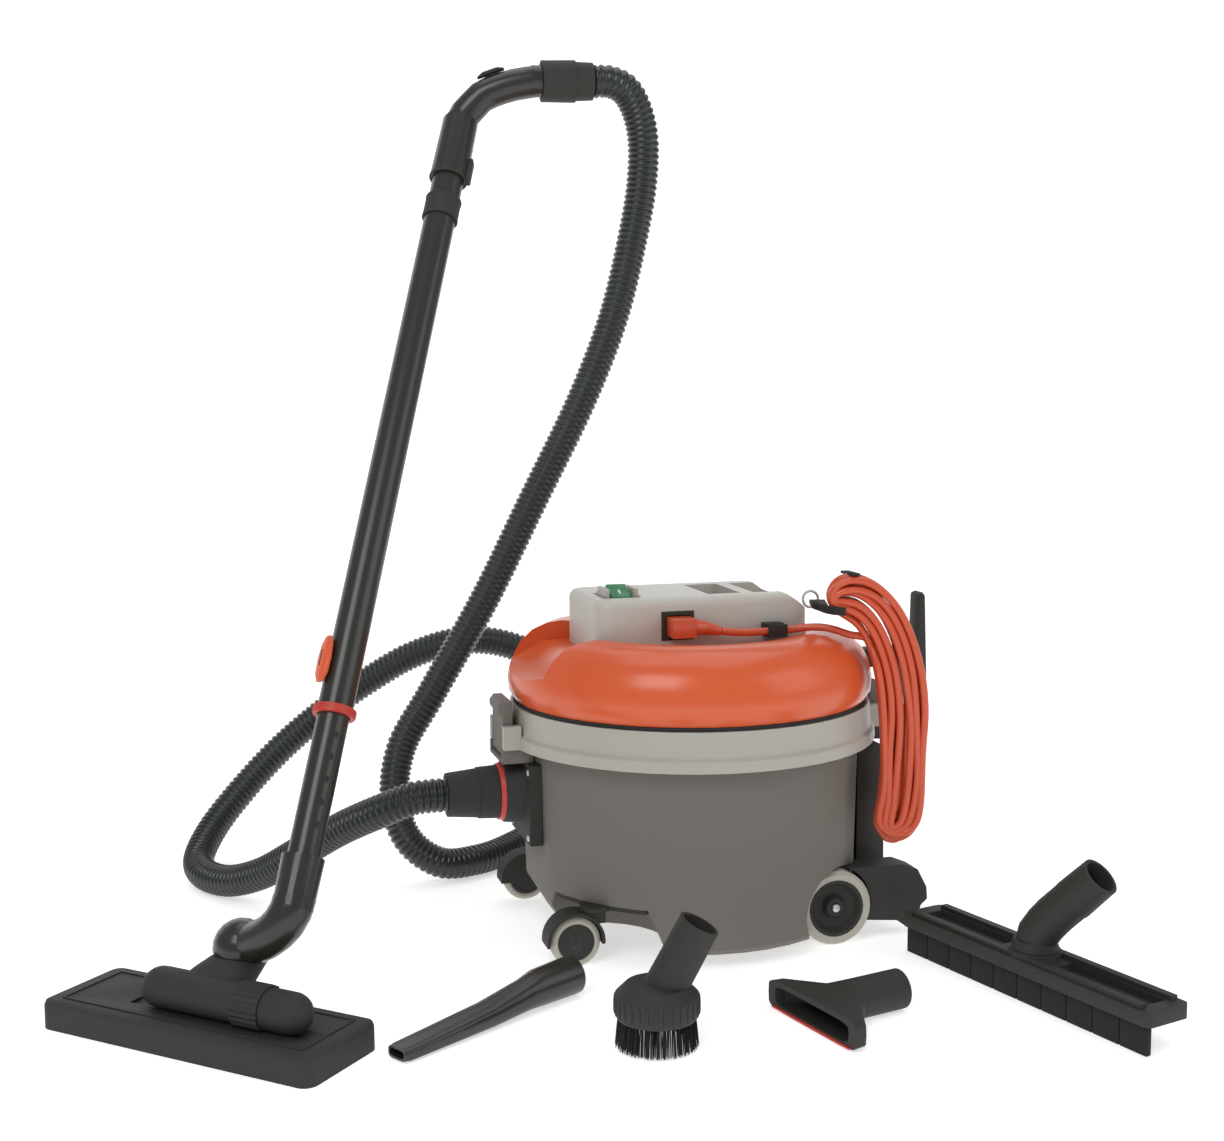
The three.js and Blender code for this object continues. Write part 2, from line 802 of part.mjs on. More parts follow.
// Outline of the hank in its own plane: [outward from the canister's axis, height].
const hankOutline = [
  [136, 343],
  [133, 360],
  [142, 376],
  [162, 382],
  [184, 371],
  [206, 343],
  [226, 300],
  [240, 240],
  [243, 180],
  [234, 125],
  [218, 97],
  [200, 95],
  [191, 116],
  [192, 160],
  [193, 215],
  [192, 258],
  [182, 294],
  [182, 322],
  [168, 331],
  [151, 334],
];
const hankBottom = 95;
const hankThickness = 32;
const hankPlane = 65; // from the canister's axis to the hank's middle plane
const hankFace = hankThickness / 2 - hankPlane + gap;

// A height on the hank. Its bottom stays clear of the skid below when the rim moves.
function hungHeight(z) {
  const share = (z - hankBottom) / (drawnRim - hankBottom);
  return z + upward * Math.min(share, 1);
}

function cordLead() {
  const points = leadPoints.map(([x, y, z, share]) => {
    const shift = outward * share;
    return V(x + shift * Math.cos(hankTurn), y + shift * Math.sin(hankTurn), z + upward);
  });
  return swept(new THREE.CatmullRomCurve3(points), cordDiameter / 2, 8, 12);
}

function cordHank() {
  const placed = hankOutline.map(([x, z]) => [x + outward, hungHeight(z)]);
  return acrossY(placed, -hankPlane - hankThickness / 2, -hankPlane + hankThickness / 2);
}

function cordPlug() {
  const at = (y, z) => V(214 + outward, hankFace + y, hungHeight(150) + z);
  const body = solid(new THREE.BoxGeometry(24, 22, 38), move(...at(11, 0).toArray()));
  const tail = cone(at(8, 18), at(8, 44), 7, 4.6, 16);
  return join(body, tail);
}

function hankStrap() {
  const start = consoleRear + 14;
  const end = Math.max(start + 16, hankOutline[0][0] + outward + 6);
  return box([start, hankFace, consoleTop - 13], [end, -10, consoleTop - 9]);
}

// ---------- hose ----------
const hosePoints = [
  [cuffEnd - gap, 0, inletHeight],
  [cuffEnd - 18, 0, inletHeight],
  [cuffEnd - 35, 2, inletHeight - 2],
  [cuffEnd - 60, 12, inletHeight - 13],
  [cuffEnd - 100, 52, inletHeight - 40],
  [-405, 108, 72],
  [-443, 158, 38],
  [-476, 200, 21],
  [-500, 243, 19],
  [-505, 284, 25],
  [-488, 322, 48],
  [-453, 348, 84],
  [-402, 366, 131],
  [-347, 377, 172],
  [-292, 380, 207],
  [-238, 377, 236],
  [-182, 370, 252],
  [-126, 360, 248],
  [-72, 350, 221],
  [-34, 342, 172],
  [-28, 332, 115],
  [-52, 315, 62],
  [-96, 285, 29],
  [-145, 245, 19],
  [-192, 209, 18.5],
  [-238, 193, 24],
  [-273, 198, 52],
  [-286, 208, 98],
  [-277, 214, 155],
  [-242, 212, 216],
  [-179, 205, 325],
  [-122, 197, 439],
  [-66, 187, 553],
  [-31, 180, 643],
  [-10, 173, 730],
  [-1, 163, 795],
  [-3, 153, 843],
  [-14, 145, 874],
  [-28, 140.2, 891],
  [-45.5, 139.7, 897.6],
  [-63.4, 141.1, 897.2],
];

function hose() {
  const points = hosePoints.map((p) => V(...p));
  const curve = new THREE.CatmullRomCurve3(points, false, "centripetal");
  return swept(curve, hoseDiameter / 2, 10, 48);
}

// ---------- wand ----------
const neckTop = V(-424, -199, 156);
const wandWay = V(185, 303, 592).normalize(); // up along the wand
const onWand = (t) => neckTop.clone().addScaledVector(wandWay, t);
const upperStart = 140; // along the wand from the neck's socket
const upperEnd = 762;
const socketStart = 735;
const collarStart = 684;
const elbowAt = 818;

function tubeOnWand(start, end, radius, bore, sides = 24) {
  const outer = cylinder(onWand(start), onWand(end), radius, sides);
  if (!bore) return outer;
  return cut(outer, cylinder(onWand(start - 5), onWand(end + 5), bore, sides));
}

const upperRadius = upperTubeDiameter / 2;
const lowerRadius = lowerTubeDiameter / 2;

// The direction across the wand that faces the user's thumb.
const thumbSide = V(-0.914, -0.396, 0);
const thumbWay = thumbSide.clone().addScaledVector(wandWay, -thumbSide.dot(wandWay)).normalize();

function tubeRing() {
  return tubeOnWand(upperStart - 8, upperStart - gap, upperRadius + 3, lowerRadius + runGap);
}

const buttonAt = 182;

// A plain black collar under the handle's socket.
function tubeCollar() {
  return tubeOnWand(collarStart, collarStart + 23, upperRadius + 2.2, upperRadius + gap);
}

function upperTube() {
  return tubeOnWand(upperStart, upperEnd, upperRadius, lowerRadius + 0.4);
}

function lowerTube() {
  return tubeOnWand(-28, 470, lowerRadius, lowerRadius - tubeWall);
}

function releaseButton() {
  const centre = onWand(buttonAt).addScaledVector(thumbWay, upperRadius + 4.5);
  const side = wandWay.clone().cross(thumbWay);
  const list = (v) => v.toArray();
  const at = (t, a, b) => ({
    centre: list(centre.clone().addScaledVector(wandWay, t)),
    across: list(side),
    up: list(thumbWay),
    a,
    b,
    power: 2.4,
  });
  const drops = [at(22, 5, 2.2), at(14, 9, 3.8), at(0, 11, 4.2), at(-14, 10, 4), at(-22, 5, 2.4)];
  return loft(drops, 14);
}

const gripPoints = [
  onWand(elbowAt - 22),
  onWand(elbowAt - 4),
  V(-193, 158, 869),
  V(-183, 157, 879),
  V(-152, 151, 891),
  V(-124, 146, 896),
];
const gripEnd = gripPoints[gripPoints.length - 1];
const gripWay = V(1, -0.08, 0.02).normalize();

function handleTube() {
  const grip = swept(new THREE.CatmullRomCurve3(gripPoints), handleRadius, 14, 9);
  const socket = cone(onWand(socketStart), onWand(elbowAt - 8), 20, 19, 24);
  const bore = cylinder(onWand(socketStart - 5), onWand(upperEnd + gap), upperRadius + gap, 24);
  const onGrip = (t) => gripEnd.clone().addScaledVector(gripWay, t);
  const nose = cylinder(onGrip(-6), onGrip(4), handleRadius, 20);
  const well = cylinder(onGrip(-12), onGrip(10), 14, 20);
  return cut(join(grip, socket, nose), bore, well);
}

const cuffBase = gripEnd.clone().addScaledVector(gripWay, 4 + runGap);
const hoseEnd = V(...hosePoints[hosePoints.length - 1]);

function handleCuff() {
  const at = (t) => cuffBase.clone().addScaledVector(gripWay, t);
  const length = cuffBase.distanceTo(hoseEnd) - gap;
  const spigot = cylinder(at(-14), at(1), 14 - runGap, 20);
  const sleeve = cone(at(0), at(length * 0.65), 22, 22.5, 24);
  const tail = cone(at(length * 0.6), at(length), 21, 20, 24);
  return join(spigot, sleeve, tail);
}

// The suction slider: a saddle on top of the grip.
function suctionSlider() {
  const along = V(0.93, -0.18, 0.33).normalize();
  const side = V(0, 0, 1).cross(along).normalize();
  const up = along.clone().cross(side);
  const foot = V(-167, 153.8, 885.5).addScaledVector(up, handleRadius + 1);
  const at = (t, a, b) => ({
    centre: foot.clone().addScaledVector(along, t).addScaledVector(up, b).toArray(),
    across: side.toArray(),
    up: up.toArray(),
    a,
    b,
    power: 3,
  });
  return loft([at(-15, 5, 1.2), at(-8, 7, 2.6), at(8, 7, 2.6), at(15, 5, 1.2)], 14);
}

// ---------- floor tool ----------
const toolPlace = { x: -512, y: -197, turn: THREE.MathUtils.degToRad(-42.7) };
const barrelAt = { x: 30, y: -8, z: 42 }; // in the tool's own axes: X along it, Y backwards
const domeAt = V(15, 32, 75);
const swivelWay = V(0, 0.3, 0.954).normalize();
const domeCut = 10; // from the dome's centre down to the swivel's face
const selectorAt = [48, 78]; // X range on the barrel
const selectorOuter = barrelRadius + 2;
const yokeHalf = 33;

function toolBase() {
  const plan = roundedRect(toolLength - 10, toolDepth - 10, 7);
  const geometry = new THREE.ExtrudeGeometry(plan, {
    depth: toolHeight - 5,
    bevelSize: 5,
    bevelThickness: 5,
    bevelSegments: 2,
    curveSegments: 4,
  });
  const plate = solid(geometry, move(0, 0, 0));
  const below = box([-200, -100, -20], [200, 100, 0]);
  const onBarrel = (x) => V(barrelAt.x + x, barrelAt.y, barrelAt.z);
  const reach = barrelLength / 2 + 12;
  const cradle = cylinder(onBarrel(-reach), onBarrel(reach), barrelRadius + runGap, 28);
  const room = selectorOuter + 1;
  const roomStart = onBarrel(selectorAt[0] - barrelAt.x - 1);
  const roomEnd = onBarrel(selectorAt[1] - barrelAt.x + 1);
  const selectorRoom = cylinder(roomStart, roomEnd, room, 28);
  const mouth = box([-toolLength / 2 + 24, -34, -1], [toolLength / 2 - 24, -16, 9]);
  const brushSlot = box([-toolLength / 2 + 14.5, 24.5, -1], [toolLength / 2 - 14.5, 35.5, 9]);
  return cut(plate, below, cradle, selectorRoom, mouth, brushSlot);
}

function toolBrush() {
  return box([-toolLength / 2 + 15, 25, 1], [toolLength / 2 - 15, 35, 8]);
}

function toolBarrel() {
  const { x, y, z } = barrelAt;
  const reach = barrelLength / 2 - barrelRadius;
  const straight = cylinder(V(x - reach, y, z), V(x + reach, y, z), barrelRadius);
  const ball = new THREE.SphereGeometry(barrelRadius, 24, 12);
  const end = (side) => solid(ball, move(x + side * reach, y, z));
  const groove = cut(
    cylinder(V(selectorAt[0] - runGap, y, z), V(selectorAt[1] + runGap, y, z), 30, 28),
    cylinder(V(selectorAt[0] - 2, y, z), V(selectorAt[1] + 2, y, z), barrelRadius - 3, 28),
  );
  const face = domeAt.clone().addScaledVector(swivelWay, -domeCut - runGap);
  const yoke = loft(
    [
      { centre: [5, y, z], across: [1, 0, 0], up: [0, -0.636, 0.771], a: yokeHalf, b: 15, power: 3 },
      { centre: [12, 12, 55], across: [1, 0, 0], up: [0, -0.8, 0.6], a: 29, b: 19, power: 2.5 },
      { centre: face.toArray(), across: [1, 0, 0], up: [0, -0.954, 0.3], a: 25, b: 24, power: 2 },
    ],
    20,
  );
  return join(cut(join(straight, end(-1), end(1)), groove), yoke);
}

// The ribbed selector ring on the barrel.
function toolSelector() {
  const ribs = 24;
  const points = [];
  for (let i = 0; i < 2 * ribs; i++) {
    const r = i % 2 ? selectorOuter : selectorOuter - 1.4;
    const angle = (Math.PI * i) / ribs;
    points.push([r * Math.cos(angle), r * Math.sin(angle)]);
  }
  const ring = raised(outline(points), selectorAt[0], selectorAt[1]);
  const onAxis = new THREE.Matrix4()
    .makeTranslation(0, barrelAt.y, barrelAt.z)
    .multiply(new THREE.Matrix4().makeRotationY(Math.PI / 2));
  const at = (x) => V(x, barrelAt.y, barrelAt.z);
  const hold = barrelRadius - 3 + runGap;
  const bore = cylinder(at(selectorAt[0] - 5), at(selectorAt[1] + 5), hold, 24);
  return cut(turnedOnto(ring, onAxis), bore);
}

const toolToFloor = new THREE.Matrix4()
  .makeTranslation(toolPlace.x, toolPlace.y, 0)
  .multiply(new THREE.Matrix4().makeRotationZ(toolPlace.turn));

// The bent neck between the swivel dome and the wand, in the canister's axes.
function toolNeck() {
  const dome = domeAt.clone().applyMatrix4(toolToFloor);
  const up = swivelWay.clone().transformDirection(toolToFloor);
  const elbow = onWand(-72);
  const bend = new THREE.QuadraticBezierCurve3(dome, elbow, onWand(-36));
  const leg = swept(bend, 19, 16, 7);
  const sphere = solid(new THREE.SphereGeometry(25.5, 20, 12), move(...dome.toArray()));
  const socket = cone(onWand(-46), onWand(0), 18.5, 19.5, 24);
  const bore = cylinder(onWand(-28 - gap), onWand(10), lowerRadius + gap, 24);
  const face = dome.clone().addScaledVector(up, -domeCut);
  const belowFace = cylinder(face, face.clone().addScaledVector(up, -60), 44, 24);
  return cut(join(leg, sphere, socket), bore, belowFace);
}

// ---------- loose tools ----------
const socketOuter = toolSocket / 2 + socketWall;

function creviceTool() {
  const up = [0, 0, 1];
  const across = [0, 1, 0];
  const at = (x, z, a, b, power) => ({ centre: [x, 0, z], across, up, a, b, power });
  const length = creviceLength;
  const body = loft(
    [
      at(0, socketOuter, socketOuter, socketOuter, 2),
      at(46, socketOuter, socketOuter - 1, socketOuter - 1, 2),
      at(62, socketOuter - 2, 15, 14, 2.4),
      at(110, 11, 15, 10, 3),
      at(length - 6, 6.5, 13.5, 6, 4),
      at(length, 6.5, 11.5, 5.4, 4),
    ],
    24,
  );
  const bore = cylinder(V(-5, 0, socketOuter), V(42, 0, socketOuter), toolSocket / 2, 24);
  const throat = loft(
    [
      at(30, socketOuter, 9, 9, 2),
      at(62, socketOuter - 2, 10, 9, 2.4),
      at(110, 11, 11.5, 6.5, 3),
      at(length + 5, 6.5, 9.5, 3.4, 4),
    ],
    16,
  );
  return cut(body, bore, throat);
}

const skirtBottom = 26;
const leanWay = V(36, 0, 69).normalize();

function dustingBrush() {
  const skirt = turned(
    [
      [0, skirtBottom],
      [dustingRadius - 2, skirtBottom],
      [dustingRadius, skirtBottom + 3],
      [dustingRadius, skirtBottom + 20],
      [dustingRadius - 9, skirtBottom + 29],
      [0, skirtBottom + 33],
    ],
    32,
  );
  const root = V(0, 0, skirtBottom + 12);
  const top = root.clone().addScaledVector(leanWay, 80);
  const tube = cone(root, top, socketOuter + 1, socketOuter, 24);
  const onLean = (t) => root.clone().addScaledVector(leanWay, t);
  const bore = cylinder(onLean(38), top.clone().addScaledVector(leanWay, 5), toolSocket / 2, 20);
  const duct = cylinder(V(0, 0, skirtBottom - 2), onLean(42), 11, 14);
  const keepBelow = box([-60, -60, 0], [60, 60, skirtBottom]);
  return cut(join(skirt, tube), keepBelow, bore, duct);
}

function dustingBristles() {
  const outer = dustingRadius - 2.5;
  return turned(
    [
      [outer - 11, 0],
      [outer + 2, 0],
      [outer, skirtBottom - gap],
      [outer - 9, skirtBottom - gap],
    ],
    28,
  );
}

const mouthDepth = 34;

function upholsteryTool() {
  const across = [0, 1, 0];
  const up = [0, 0, 1];
  const half = upholsteryWidth / 2;
  const at = (x, z, a, b, power) => ({ centre: [x, 0, z], across, up, a, b, power });
  const body = loft(
    [
      at(-mouthDepth, 14, half, 14, 6),
      at(-mouthDepth + 12, 14, half - 1, 13.5, 6),
      at(0, 16, 30, 15, 3),
      at(14, socketOuter, socketOuter, socketOuter, 2),
      at(66, socketOuter, socketOuter, socketOuter, 2),
    ],
    28,
  );
  const bore = cylinder(V(28, 0, socketOuter), V(80, 0, socketOuter), toolSocket / 2, 24);
  const throat = loft(
    [
      at(-mouthDepth - 2, 14, half - 10, 9, 6),
      at(-mouthDepth + 10, 14, half - 12, 9, 5),
      at(0, 16, 20, 10, 3),
      at(34, socketOuter, 11, 11, 2),
    ],
    24,
  );
  const stripRoom = box([-mouthDepth - 1, -half + 7, 1.4], [-mouthDepth + 3, half - 7, 3.6]);
  return cut(body, bore, throat, stripRoom);
}

function lintStrip() {
  const half = upholsteryWidth / 2;
  return box([-mouthDepth - 2, -half + 8, 1.8], [-mouthDepth + 2.4, half - 8, 3.2]);
}

const brushBottom = 27;
const brushTop = 46;
const brushPivot = V(0, 0, brushTop);

function floorBrush() {
  const plan = roundedRect(brushLength, brushDepth, 7);
  const plate = raised(plan, brushBottom, brushTop - 6, 4);
  const reach = brushLength / 2 - 12;
  const rib = (y0, y1) => box([-reach, y0, brushTop - 7], [reach, y1, brushTop - 2]);
  const window = (x0, x1) => box([x0, -13, brushBottom + 6], [x1, 13, brushTop + 5]);
  const hub = cone(V(0, 0, brushBottom + 1), brushPivot, 27, 24, 28);
  const arms = join(rib(-brushDepth / 2 + 3, -15), rib(15, brushDepth / 2 - 3));
  const windowEnd = brushLength / 2 - 16;
  const shell = cut(join(plate, arms), window(-windowEnd, -36), window(36, windowEnd));
  const duct = cylinder(V(0, 0, brushBottom - 5), V(0, 0, brushTop + 5), 13, 20);
  return cut(join(shell, hub), duct);
}

function floorBristles() {
  const reach = brushLength / 2 - 4;
  const front = -brushDepth / 2 + 2;
  return box([-reach, front, 0], [reach, front + 10, brushBottom - gap]);
}

// The neck that swivels on the floor brush, about its own upright axis.
function floorBrushNeck() {
  const base = brushTop + runGap;
  const outerBend = [V(0, 0, base), V(2, 0, base + 12), V(16, 0, base + 32), V(38, 0, base + 55)];
  const innerBend = [V(0, 0, base - 3), V(2, 0, base + 12), V(16, 0, base + 32), V(40, 0, base + 57)];
  const curve = new THREE.CatmullRomCurve3(outerBend);
  const bend = swept(curve, socketOuter + 1, 14, 5);
  const top = V(38, 0, base + 55);
  const way = V(22, 0, 23).normalize();
  const onward = (t) => top.clone().addScaledVector(way, t);
  const socket = cone(onward(-3), onward(34), socketOuter + 1.5, socketOuter + 0.5, 20);
  const bore = cylinder(onward(-2), onward(40), toolSocket / 2, 20);
  const below = box([-60, -60, 0], [60, 60, base]);
  const duct = swept(new THREE.CatmullRomCurve3(innerBend), 11, 10, 5);
  const foot = cone(V(0, 0, base - 2), V(0, 0, base + 9), 23, 20, 28);
  return cut(join(bend, socket, foot), below, bore, duct);
}

// ---------- assembly ----------
function place(x, y, turn = 0, parent = floorFrame) {
  const group = new THREE.Group();
  group.position.set(x, y, 0);
  group.rotation.z = turn;
  parent.add(group);
  return group;
}

add(floorFrame, "tub", tub(), taupe);
add(floorFrame, "inlet_socket", inletSocket(), black);
add(floorFrame, "inlet_ring", inletRing(), red);
add(floorFrame, "inlet_cuff", inletCuff(), black);
add(floorFrame, "rear_panel", rearPanel(), black);
add(floorFrame, "rear_axle", rearAxle(), steel);
add(floorFrame, "dust_bag", dustBag(), paper);
add(floorFrame, "front_latch", latch(-1), taupe);
add(floorFrame, "rear_latch", latch(1), taupe);

for (const [name, side] of [["near", -1], ["far", 1]]) {
  add(floorFrame, "skid_" + name, skid(side), black);
  const wheel = new THREE.Group();
  wheel.position.set(rearWheelX, side * rearWheelSide, rearWheelRadius);
  floorFrame.add(wheel);
  add(wheel, "wheel_tyre_" + name, tyre(), tyreGrey);
  add(wheel, "wheel_hub_" + name, hub(), black);
  add(floorFrame, "caster_mount_" + name, casterMount(side), black);
  const caster = place(casterPivot[0], side * casterPivot[1]);
  add(caster, "caster_fork_" + name, casterFork(-side), black);
  const casterHub = new THREE.Group();
  casterHub.position.set(-casterTrail, 0, casterRadius);
  caster.add(casterHub);
  add(casterHub, "caster_wheel_" + name, casterWheel(), tyreGrey);
}

add(floorFrame, "clamp_ring", clampRing(), lightGrey);
add(floorFrame, "head_seal", headSeal(), black);
add(floorFrame, "head_shell", headShell(), orange);
add(floorFrame, "console", consoleBody(), consoleGrey);
add(floorFrame, "switch_bezel", switchBezel(), lightGrey);
add(floorFrame, "switch_rocker", switchRocker(), green);
add(floorFrame, "power_socket", powerSocket(), black);
add(floorFrame, "cord_connector", cordConnector(), cordRed);
add(floorFrame, "cord_clip", cordClip(), black);
add(floorFrame, "wire_ring", wireRing(), steel);
add(floorFrame, "cord_hook", cordHook(), black);
add(floorFrame, "motor_housing", motorHousing(), black);
add(floorFrame, "impeller", impeller(), steel);
add(floorFrame, "cord_lead", cordLead(), cordRed);

const hankFrame = place(0, 0, hankTurn);
add(hankFrame, "cord_hank", cordHank(), cordRed);
add(hankFrame, "cord_plug", cordPlug(), cordRed);
add(hankFrame, "hank_strap", hankStrap(), black);

add(floorFrame, "hose", hose(), hoseBlack);
add(floorFrame, "upper_tube", upperTube(), black);
add(floorFrame, "tube_collar", tubeCollar(), black);
add(floorFrame, "tube_ring", tubeRing(), red);
add(floorFrame, "lower_tube", lowerTube(), black);
add(floorFrame, "release_button", releaseButton(), orange);
add(floorFrame, "handle_tube", handleTube(), black);
add(floorFrame, "handle_cuff", handleCuff(), black);
add(floorFrame, "suction_slider", suctionSlider(), black);
add(floorFrame, "tool_neck", toolNeck(), black);

const tool = place(toolPlace.x, toolPlace.y, toolPlace.turn);
add(tool, "tool_base", toolBase(), black);
add(tool, "tool_brush", toolBrush(), bristle);
add(tool, "tool_barrel", toolBarrel(), black);
add(tool, "tool_selector", toolSelector(), black);

const degrees = THREE.MathUtils.degToRad;
const crevice = place(-177, -186, degrees(180 + 31.2));
add(crevice, "crevice_tool", creviceTool(), black);
const dusting = place(-136, -325, degrees(-18));
add(dusting, "dusting_brush", dustingBrush(), black);
add(dusting, "dusting_bristles", dustingBristles(), bristle);
const upholstery = place(38, -322, degrees(14));
add(upholstery, "upholstery_tool", upholsteryTool(), black);
add(upholstery, "lint_strip", lintStrip(), red);
const brushShift = rearWheelX - 114; // keeps the floor brush clear of the near wheel
const floorHead = place(236 + brushShift, -314 - brushShift, degrees(-75.2));
add(floorHead, "floor_brush", floorBrush(), black);
add(floorHead, "floor_bristles", floorBristles(), bristle);
const brushNeck = place(0, 0, degrees(20), floorHead);
add(brushNeck, "floor_brush_neck", floorBrushNeck(), black);

export default vacuum;
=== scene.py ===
"""Looks for a canister vacuum cleaner: hose, cord, bristles, small fittings and materials.

Everything is in metres in the part's own frame: +Z up, the canister's length along X with the
hose inlet at -X, and the origin at the centre of the tub's underside.
"""
import json
import math

import bmesh
import bpy
import numpy as np
from mathutils import Matrix, Vector


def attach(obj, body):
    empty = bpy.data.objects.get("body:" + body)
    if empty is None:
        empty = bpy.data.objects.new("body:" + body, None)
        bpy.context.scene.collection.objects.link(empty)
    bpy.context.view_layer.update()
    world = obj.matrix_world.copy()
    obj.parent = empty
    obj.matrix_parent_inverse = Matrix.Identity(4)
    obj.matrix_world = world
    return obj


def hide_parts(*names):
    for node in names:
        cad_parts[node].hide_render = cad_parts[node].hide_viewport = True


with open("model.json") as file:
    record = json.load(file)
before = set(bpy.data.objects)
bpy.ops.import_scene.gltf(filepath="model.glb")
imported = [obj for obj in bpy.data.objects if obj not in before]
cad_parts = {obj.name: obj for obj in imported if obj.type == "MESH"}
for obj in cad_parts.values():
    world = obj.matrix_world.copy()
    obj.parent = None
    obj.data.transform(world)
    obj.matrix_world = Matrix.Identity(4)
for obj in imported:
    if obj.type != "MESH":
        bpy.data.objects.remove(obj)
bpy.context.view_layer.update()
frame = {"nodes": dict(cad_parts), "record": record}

bl_info = {
    "name": "Canister vacuum cleaner",
    "version": (1, 0, 0),
    "blender": (4, 5, 0),
    "location": "3D Viewport > Sidebar > Vacuum",
    "description": "Adds the hose, cord, bristles, fittings and materials of a canister vacuum cleaner",
    "category": "Object",
}

TUB_LIFT = 0.015  # tub underside above the floor
LOWER_RADIUS = 0.015  # of the wand's lower tube
HOSE_RADIUS = 0.018
CORD_RADIUS = 0.004
NECK_TOP = np.array([-0.424, -0.199, 0.141])  # where the wand's scale of lengths starts
WAND_WAY = np.array([185.0, 303.0, 592.0]) / np.linalg.norm([185.0, 303.0, 592.0])
HANK_TURN = math.radians(-18)
HANK_PLANE = -0.065  # the hank's middle plane, in its turned axes


# ---------- points and curves ----------
def points_mm(rows):
    """Points given in millimetres above the floor, as metres in the part's frame."""
    return np.array(rows, float) / 1000 - np.array([0, 0, TUB_LIFT])


def smooth_path(points, step):
    """A centripetal Catmull-Rom curve through the points, resampled at an even step."""
    p = np.vstack([2 * points[0] - points[1], points, 2 * points[-1] - points[-2]])
    pieces = []
    for a, b, c, d in zip(p[:-3], p[1:-2], p[2:-1], p[3:]):
        t1 = np.linalg.norm(b - a) ** 0.5
        t2 = t1 + np.linalg.norm(c - b) ** 0.5
        t3 = t2 + np.linalg.norm(d - c) ** 0.5
        t = np.linspace(t1, t2, 24, endpoint=False)[:, None]
        ab = (t1 - t) / t1 * a + t / t1 * b
        bc = (t2 - t) / (t2 - t1) * b + (t - t1) / (t2 - t1) * c
        cd = (t3 - t) / (t3 - t2) * c + (t - t2) / (t3 - t2) * d
        abc = (t2 - t) / t2 * ab + t / t2 * bc
        bcd = (t3 - t) / (t3 - t1) * bc + (t - t1) / (t3 - t1) * cd
        pieces.append((t2 - t) / (t2 - t1) * abc + (t - t1) / (t2 - t1) * bcd)
    dense = np.vstack(pieces + [p[-2:-1]])
    return even_steps(dense, step)


def even_steps(dense, step):
    """A polyline resampled at even steps of length."""
    run = np.concatenate([[0], np.cumsum(np.linalg.norm(np.diff(dense, axis=0), axis=1))])
    wanted = np.linspace(0, run[-1], max(2, int(round(run[-1] / step)) + 1))
    return np.stack([np.interp(wanted, run, dense[:, i]) for i in range(3)], axis=1)


def path_length(path):
    """The length of a polyline."""
    return float(np.linalg.norm(np.diff(path, axis=0), axis=1).sum())


def basis(way):
    """Two unit directions square to a way and to each other."""
    way = np.array(way, float) / np.linalg.norm(way)
    helper = np.array([0, 0, 1.0]) if abs(way[2]) < 0.9 else np.array([1.0, 0, 0])
    across = np.cross(helper, way)
    across /= np.linalg.norm(across)
    return way, across, np.cross(way, across)


# ---------- surfaces ----------
def mesh_object(name, vertices, faces, uv=None):
    """A smooth-shaded mesh object from arrays, linked to the scene."""
    mesh = bpy.data.meshes.new(name)
    mesh.from_pydata(np.asarray(vertices, float).tolist(), [], [list(f) for f in faces])
    mesh.polygons.foreach_set("use_smooth", np.ones(len(mesh.polygons), bool))
    if uv is not None:
        layer = mesh.attributes.new("run", "FLOAT", "POINT")
        layer.data.foreach_set("value", np.asarray(uv, np.float32))
    mesh.update()
    made = bpy.data.objects.new(name, mesh)
    bpy.context.scene.collection.objects.link(made)
    return made


def grid_faces(rows, columns, close_columns=True, start=0):
    """Quads of a grid of points, whose columns may close into a ring."""
    i, j = np.meshgrid(np.arange(rows - 1), np.arange(columns - (not close_columns)), indexing="ij")
    k = (j + 1) % columns
    quads = np.stack([i * columns + j, i * columns + k, (i + 1) * columns + k, (i + 1) * columns + j], -1)
    return (quads.reshape(-1, 4) + start).tolist()


def tube_arrays(path, radii, sides):
    """A tube: point (i, j) lies radius i from path point i, at angle 2 pi j / sides in a plane
    square to the path, whose axes are carried along the path without twisting."""
    path = np.asarray(path, float)
    ways = np.gradient(path, axis=0)
    ways /= np.linalg.norm(ways, axis=1)[:, None]
    first = basis(ways[0])[1]
    across = np.empty_like(path)
    across[0] = first
    for i in range(1, len(path)):
        carried = across[i - 1] - ways[i] * np.dot(across[i - 1], ways[i])
        across[i] = carried / np.linalg.norm(carried)
    up = np.cross(ways, across)
    angle = np.linspace(0, 2 * math.pi, sides, endpoint=False)
    radii = np.broadcast_to(radii, (len(path),))
    ring = across[:, None] * np.cos(angle)[None, :, None] + up[:, None] * np.sin(angle)[None, :, None]
    points = path[:, None] + ring * radii[:, None, None]
    faces = grid_faces(len(path), sides)
    faces.append(list(range(sides))[::-1])
    last = (len(path) - 1) * sides
    faces.append([last + j for j in range(sides)])
    return points.reshape(-1, 3), faces


def tube(name, path, radii, sides=16):
    """One tube object along a path, closed at both ends."""
    vertices, faces = tube_arrays(path, radii, sides)
    return mesh_object(name, vertices, faces)


def turned_arrays(centre, axis, profile, sides):
    """A turned surface: each [radius, height] of the profile swept about an axis at centre."""
    way, across, up = basis(axis)
    profile = np.asarray(profile, float)
    angle = np.linspace(0, 2 * math.pi, sides, endpoint=False)
    ring = across * np.cos(angle)[:, None] + up * np.sin(angle)[:, None]
    points = np.asarray(centre) + profile[:, 1, None, None] * way + profile[:, 0, None, None] * ring
    return points.reshape(-1, 3), grid_faces(len(profile), sides)


def outward(made):
    """Turns the faces of a closed mesh outwards."""
    mesh = bmesh.new()
    mesh.from_mesh(made.data)
    bmesh.ops.remove_doubles(mesh, verts=mesh.verts, dist=1e-7)
    bmesh.ops.recalc_face_normals(mesh, faces=mesh.faces)
    mesh.to_mesh(made.data)
    mesh.free()
    return made


